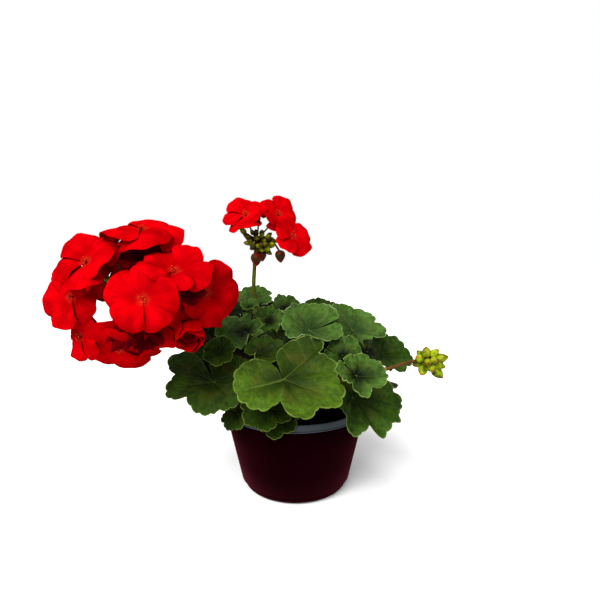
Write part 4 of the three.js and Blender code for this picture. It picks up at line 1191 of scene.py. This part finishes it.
def bud_blank():
    bud = start_from(bpy.ops.mesh.primitive_uv_sphere_add, "bud_blank",
                     segments=20, ring_count=12, radius=1)
    for vertex in bud.data.vertices:
        height = vertex.co.z
        turn = math.atan2(vertex.co.y, vertex.co.x)
        width = BUD_WIDTH * (1 - 0.2 * height) * (1 + 0.06 * math.cos(SEPALS * turn))
        vertex.co.x *= width
        vertex.co.y *= width
        if height > 0.8:
            vertex.co.z += (height - 0.8) * 0.8
    smooth(bud, 70)
    return bud


sepals_blank = sepal_blank()
buds_blank = bud_blank()
discard(sepal_grid)
print("sepals:", len(sepals_blank.data.polygons), "bud:", len(buds_blank.data.polygons), "faces")

# %% [markdown]
# ## Flower heads
# In each head, thin stalks spread from one swollen crown at the top of the long flower stalk.
# Each floret could be an object of its own, but petals press on each other and hold together, so
# the large head's petals are one piece, and its stalks and calyxes another. Where the packed
# model has a node for a floret, as in the small head, the floret stays a piece.

# %% Stalks of a head
FLORET_STALK_RADII = (0.75, 0.7, 0.95, 1.9)      # at the crown, the bend, the neck and the throat
BUD_STALK_RADII = (0.75, 0.75, 0.95)
CROWN_RADIUS = 3.3
CROWN_BUMPS = 7


def floret_stalk(name, floret, crown, material):
    facing = direction(floret["to"], floret["raised"])
    middle = Vector(floret["at"])
    top = middle - facing * 0.6
    neck = middle - facing * CALYX_LENGTH
    bend = crown.lerp(neck, 0.6) - facing * 4
    rod = stalk(name, [crown, bend, neck, top], FLORET_STALK_RADII, material, 8, 2)
    sepals = copy_of(sepals_blank, name + "_sepals")
    sepals.data.transform(floret_place(floret) @ Matrix.Scale(1 / MM, 4))
    return [rod, sepals]


def bud_on_stalk(name, bud, crown, stalk_material, bud_material):
    centre = Vector(bud["at"])
    hangs = bud["hangs"]
    away = Vector((0.1, -0.1, -1)) if hangs else (centre - crown).normalized() + bud["lean"]
    away.normalize()
    foot = centre - away * bud["size"] / 2
    bend = crown.lerp(foot, 0.6)
    if hangs:
        bend.z += 5
    rod = stalk(name, [crown, bend, foot + away], BUD_STALK_RADII, stalk_material, 6, 2)
    egg = copy_of(buds_blank, name + "_bud")
    plump = Matrix.Diagonal((bud["plump"], bud["plump"], 1, 1))
    egg.data.transform(Matrix.Scale(bud["size"] / 2 * MM, 4) @ plump)
    egg.data.transform(frame_at(centre * MM, Vector((0.3, 1, 0.2)), away))
    egg.data.materials.append(bud_material)
    return [rod, egg]


def crown_knob(name, crown, material):
    knob = start_from(bpy.ops.mesh.primitive_uv_sphere_add, name,
                      segments=16, ring_count=10, radius=CROWN_RADIUS * MM)
    for vertex in knob.data.vertices:
        turn = math.atan2(vertex.co.y, vertex.co.x)
        vertex.co *= 1 + 0.06 * math.cos(CROWN_BUMPS * turn)
    knob.data.transform(Matrix.Translation(crown * MM))
    knob.data.materials.append(material)
    smooth(knob, 80)
    return knob


def head_stalks(name, route, crown, radius, florets, buds, long_material, short_material, bud_materials):
    """Everything of a head but its petals. The last of bud_materials is for buds that hang."""
    long_radii = [radius * 1.25] + [radius] * len(route)
    parts = [stalk(name + "_long", [*route, crown], long_radii, long_material, 10, 4),
             crown_knob(name + "_crown", crown, short_material)]
    for key, entry in florets.items():
        parts += floret_stalk(f"{name}_{key}", entry, crown, short_material)
    for i, entry in enumerate(buds):
        finish = bud_materials[2 if entry["hangs"] else i % 2]
        parts += bud_on_stalk(f"{name}_bud_{i}", entry, crown, short_material, finish)
    return join_as(name, parts)


print("head helpers ready")

# %% [markdown]
# ### The large head
# This head is in full flower: florets in front that face the viewer, some more that close it at
# the back, and crumpled petals painted dark red as shade in the hollows between them. Florets could
# be set on a ball by a rule, but its gaps and overlaps are what makes it look grown, so each has an
# entry. That is its middle in mm, the bearing that it faces and how far it is raised from level,
# its turn, the length of its petals and how far they rise from flat. Some also give how far their
# tips droop, how wide they are, the height of the ruffles and which petals are tucked back.

# %% The large head
FLOWER_STALK_RADIUS = 1.9


def floret(at, to, raised, turn, size, cup, droop=0, wide=46, ruffle=0.05, tucked=(),
           finish=RED_PETAL):
    return {"at": at, "to": to, "raised": raised, "turn": turn, "size": size, "cup": cup,
            "droop": droop, "wide": wide, "ruffle": ruffle, "tucked": tucked, "finish": finish}


LARGE_ROUTE = [(-27, -16, 122), (-49, -36, 133), (-82, -47, 154), (-114, -58, 168)]
LARGE_CROWN = Vector((-126, -62, 176))
LARGE_FLORETS = {
    "front": floret((-101.5, -118, 190.5), 272, 8, 80, 26, 12),
    "upper_left": floret((-149.8, -92, 213.2), 250, 48, 60, 27.5, 13, wide=52),
    "left": floret((-163.5, -87, 188.5), 252, 5, 325, 25.8, 12, wide=46, tucked=(1,)),
    "low_left": floret((-160, -84, 157.5), 232, -5, 20, 20, 3, wide=54, ruffle=0.08),
    "low": floret((-132.3, -83, 149.5), 268, -40, 350, 29, 8, wide=54),
    "top": floret((-114, -76, 236.5), 268, 74, 12, 30, 6, 0.06, wide=56),
    "upper_right": floret((-85.5, -99, 207), 288, 56, 50, 26.5, 18),
    "right": floret((-67, -84, 190.8), 314, 8, 50, 27.5, 15, wide=50),
    "half_open": floret((-78, -91, 168), 285, -30, 36, 20, 55),
    "half_open_core": floret((-78, -91, 168), 285, -30, 10, 13, 55),
    "low_right": floret((-98, -88, 170), 280, -30, 0, 25, 30),
    # Painted shade: these crumpled florets are petals in shade, set in the head's hollows.
    "low_shaded": floret((-124, -94, 162.5), 262, -20, 20, 14.5, 46, ruffle=0.22, finish=SHADED_PETAL),
    "low_shaded_right": floret((-109, -95, 161.5), 292, -25, 50, 14.5, 42, ruffle=0.22,
                               finish=SHADED_PETAL),
    "right_shaded": floret((-75, -101, 192.5), 300, 5, 0, 12, 44, ruffle=0.2, finish=SHADED_PETAL),
    "top_shaded": floret((-117, -76, 217), 272, 30, 20, 21, 34, ruffle=0.2, finish=SHADED_PETAL),
    "far_right": floret((-66, -58, 184), 350, 5, 40, 24, 18),
    "top_back": floret((-145, -50, 217), 150, 55, 45, 24, 15),
    "back_high": floret((-110, -37, 221), 60, 55, 70, 24, 12),
    "back_right": floret((-82, -48, 203), 20, 35, 20, 26, 15),
    "back": floret((-120, -15, 196), 85, 20, 55, 25, 15),
    "back_left": floret((-158, -32, 196), 140, 25, 5, 24, 15),
    "back_low": floret((-108, -22, 168), 65, -10, 35, 24, 18),
    "back_low_left": floret((-136, -22, 162), 115, -25, 65, 24, 18),
    "under": floret((-108, -66, 152), 330, -70, 50, 25, 22),
}


large_stalks = head_stalks("large_head_green_parts", LARGE_ROUTE, LARGE_CROWN, FLOWER_STALK_RADIUS,
                           LARGE_FLORETS, [], SHADED_STALK, RED_STALK, [])
hand_over(large_stalks, "dark_stalk", "large_head_stalks")
large_petals = [floret_petals(key, entry) for key, entry in LARGE_FLORETS.items()]
large_petals += [floret_stamens(key + "_stamens", entry) for key, entry in LARGE_FLORETS.items()
                 if entry["finish"] is RED_PETAL and key != "half_open_core"]
large_head = join_as("large_head_petals", large_petals)
hand_over(large_head, "petal", "large_head_florets")
print("large head:", len(large_head.data.polygons), "petal faces and",
      len(large_stalks.data.polygons), "stalk faces")

# %% [markdown]
# ### The small head
# This head has just begun to open: three florets stand over a tangle of round buds, and three
# older buds still hang down on bent stalks. The buds are placed one by one, from the photograph,
# and every other one is a little browner. A bud may be plump or slim, and leans from its stalk.

# %% The small head
def bud(at, size, plump=0.98, lean=(0, 0, 0.3), hangs=False):
    return {"at": at, "size": size, "plump": plump, "lean": Vector(lean), "hangs": hangs}


SMALL_ROUTE = [(-9, 19, 132), (-28, 14, 152), (-37, 7, 174), (-37, 2, 205)]
SMALL_CROWN = Vector((-34, 0, 229))
SMALL_FLORETS = {
    "left": floret((-43.2, -6, 249.5), 252, 55, 60, 22.5, 14, wide=55),
    "top_right": floret((-15.5, -5, 250), 306, 35, 54, 20.5, 12, wide=52),
    "right": floret((-2.5, -16, 231.5), 303, 30, 14, 19, 12, wide=48),
}
SMALL_BUDS = [
    bud((-46, -8, 236.5), 7.5),
    bud((-42, -12, 232), 7.5),
    bud((-38, -6, 235.5), 6),
    bud((-37.5, -15, 224.5), 7.5),
    bud((-42.5, -9, 226), 6.5),
    bud((-41.5, -2, 229.5), 6.5),
    bud((-33, -13, 230.5), 6),
    bud((-29, -8, 234), 6),
    bud((-24, -8, 231), 7),
    bud((-20.5, -4, 227.5), 7.5),
    bud((-25, -9, 221), 8),
    bud((-29.5, -14, 224.5), 6.5),
    bud((-27, -12, 228), 6),
    bud((-34, -8, 219.5), 7),
    bud((-34.5, -10, 212), 11, 1.25, hangs=True),
    bud((-30, -3, 215), 10, 1.2, hangs=True),
    bud((-13.5, -6, 214.5), 10.5, 1.25, hangs=True),
    bud((-32.3, -4, 248), 5.5),
    bud((-21.5, -7, 223.5), 7),
    bud((-23.5, -6, 217.5), 6.5),
    bud((-39.5, -10, 227.5), 5.5),
    bud((-34.5, -12, 230.5), 6),
    bud((-29, -10, 232.5), 6.5),
    bud((-24, -9, 229.5), 5.5),
    bud((-20.5, -8, 225), 6),
    bud((-26, -14, 225), 6.5),
    bud((-32.5, -13, 223.5), 5.5),
    bud((-38, -10, 221.5), 6),
    bud((-29.5, -9, 220), 6.5),
    bud((-43.5, -7, 232), 5.5),
    bud((-23, -6, 233), 6),
    bud((-34.5, -6, 235), 6.5),
    bud((-31, 13, 235), 7),
    bud((-23, 10, 229), 7),
    bud((-39, 12, 221), 7),
]
small_stalks = head_stalks("small_head_green_parts", SMALL_ROUTE, SMALL_CROWN, FLOWER_STALK_RADIUS,
                           SMALL_FLORETS, SMALL_BUDS, GREEN_STALK, RED_BROWN_STALK,
                           [YOUNG_BUD, OLIVE_BUD, RED_BUD])
hand_over(small_stalks, "stalk", "small_head_stalks_and_buds")
for key, entry in SMALL_FLORETS.items():
    bloom = join_as(f"small_head_{key}_petals",
                    [floret_petals(key, entry), floret_stamens(key + "_stamens", entry)])
    hand_over(bloom, "petal", "small_head_floret_" + key)
print("small head:", len(small_stalks.data.polygons), "stalk and bud faces")

# %% [markdown]
# ### The bud head
# A young head that is still closed: plump yellow-green buds round the end of a thinner stalk,
# which reaches out to the right just over the leaves. It is made like the small head, without
# florets, and its buds are wider and lean forwards.

# %% The bud head
BUD_HEAD_STALK_RADIUS = 1.6
BUD_ROUTE = [(30, -16, 116), (50, -30, 115), (76, -37, 119), (102, -29, 124)]
BUD_CROWN = Vector((116, -25, 124))
BUD_PLACES = [
    ((108, -30, 127), 9.5), ((115, -25, 131), 10), ((122, -25, 130), 9.5), ((128, -26, 126), 11),
    ((126, -27, 120), 10), ((114, -34, 124), 9), ((111, -31, 116.5), 10.5), ((118, -33, 119), 9.5),
    ((125, -26, 113), 11.5), ((107, -26, 121), 8.5), ((112, -17, 127), 9), ((121, -15, 125), 9),
    ((116, -16, 118), 9), ((121, -31, 125), 9),
]
buds = [bud(place, size, 1.15, (0, -0.3, 0.2)) for place, size in BUD_PLACES]
bud_head = head_stalks("bud_head_green_parts", BUD_ROUTE, BUD_CROWN, BUD_HEAD_STALK_RADIUS,
                       {}, buds, TAN_STALK, RED_BROWN_STALK, [GREEN_BUD, YOUNG_BUD])
hand_over(bud_head, "bud", "bud_head")
discard(petal_blank, stamens_blank, sepals_blank, buds_blank)
print("bud head:", len(bud_head.data.polygons), "faces")
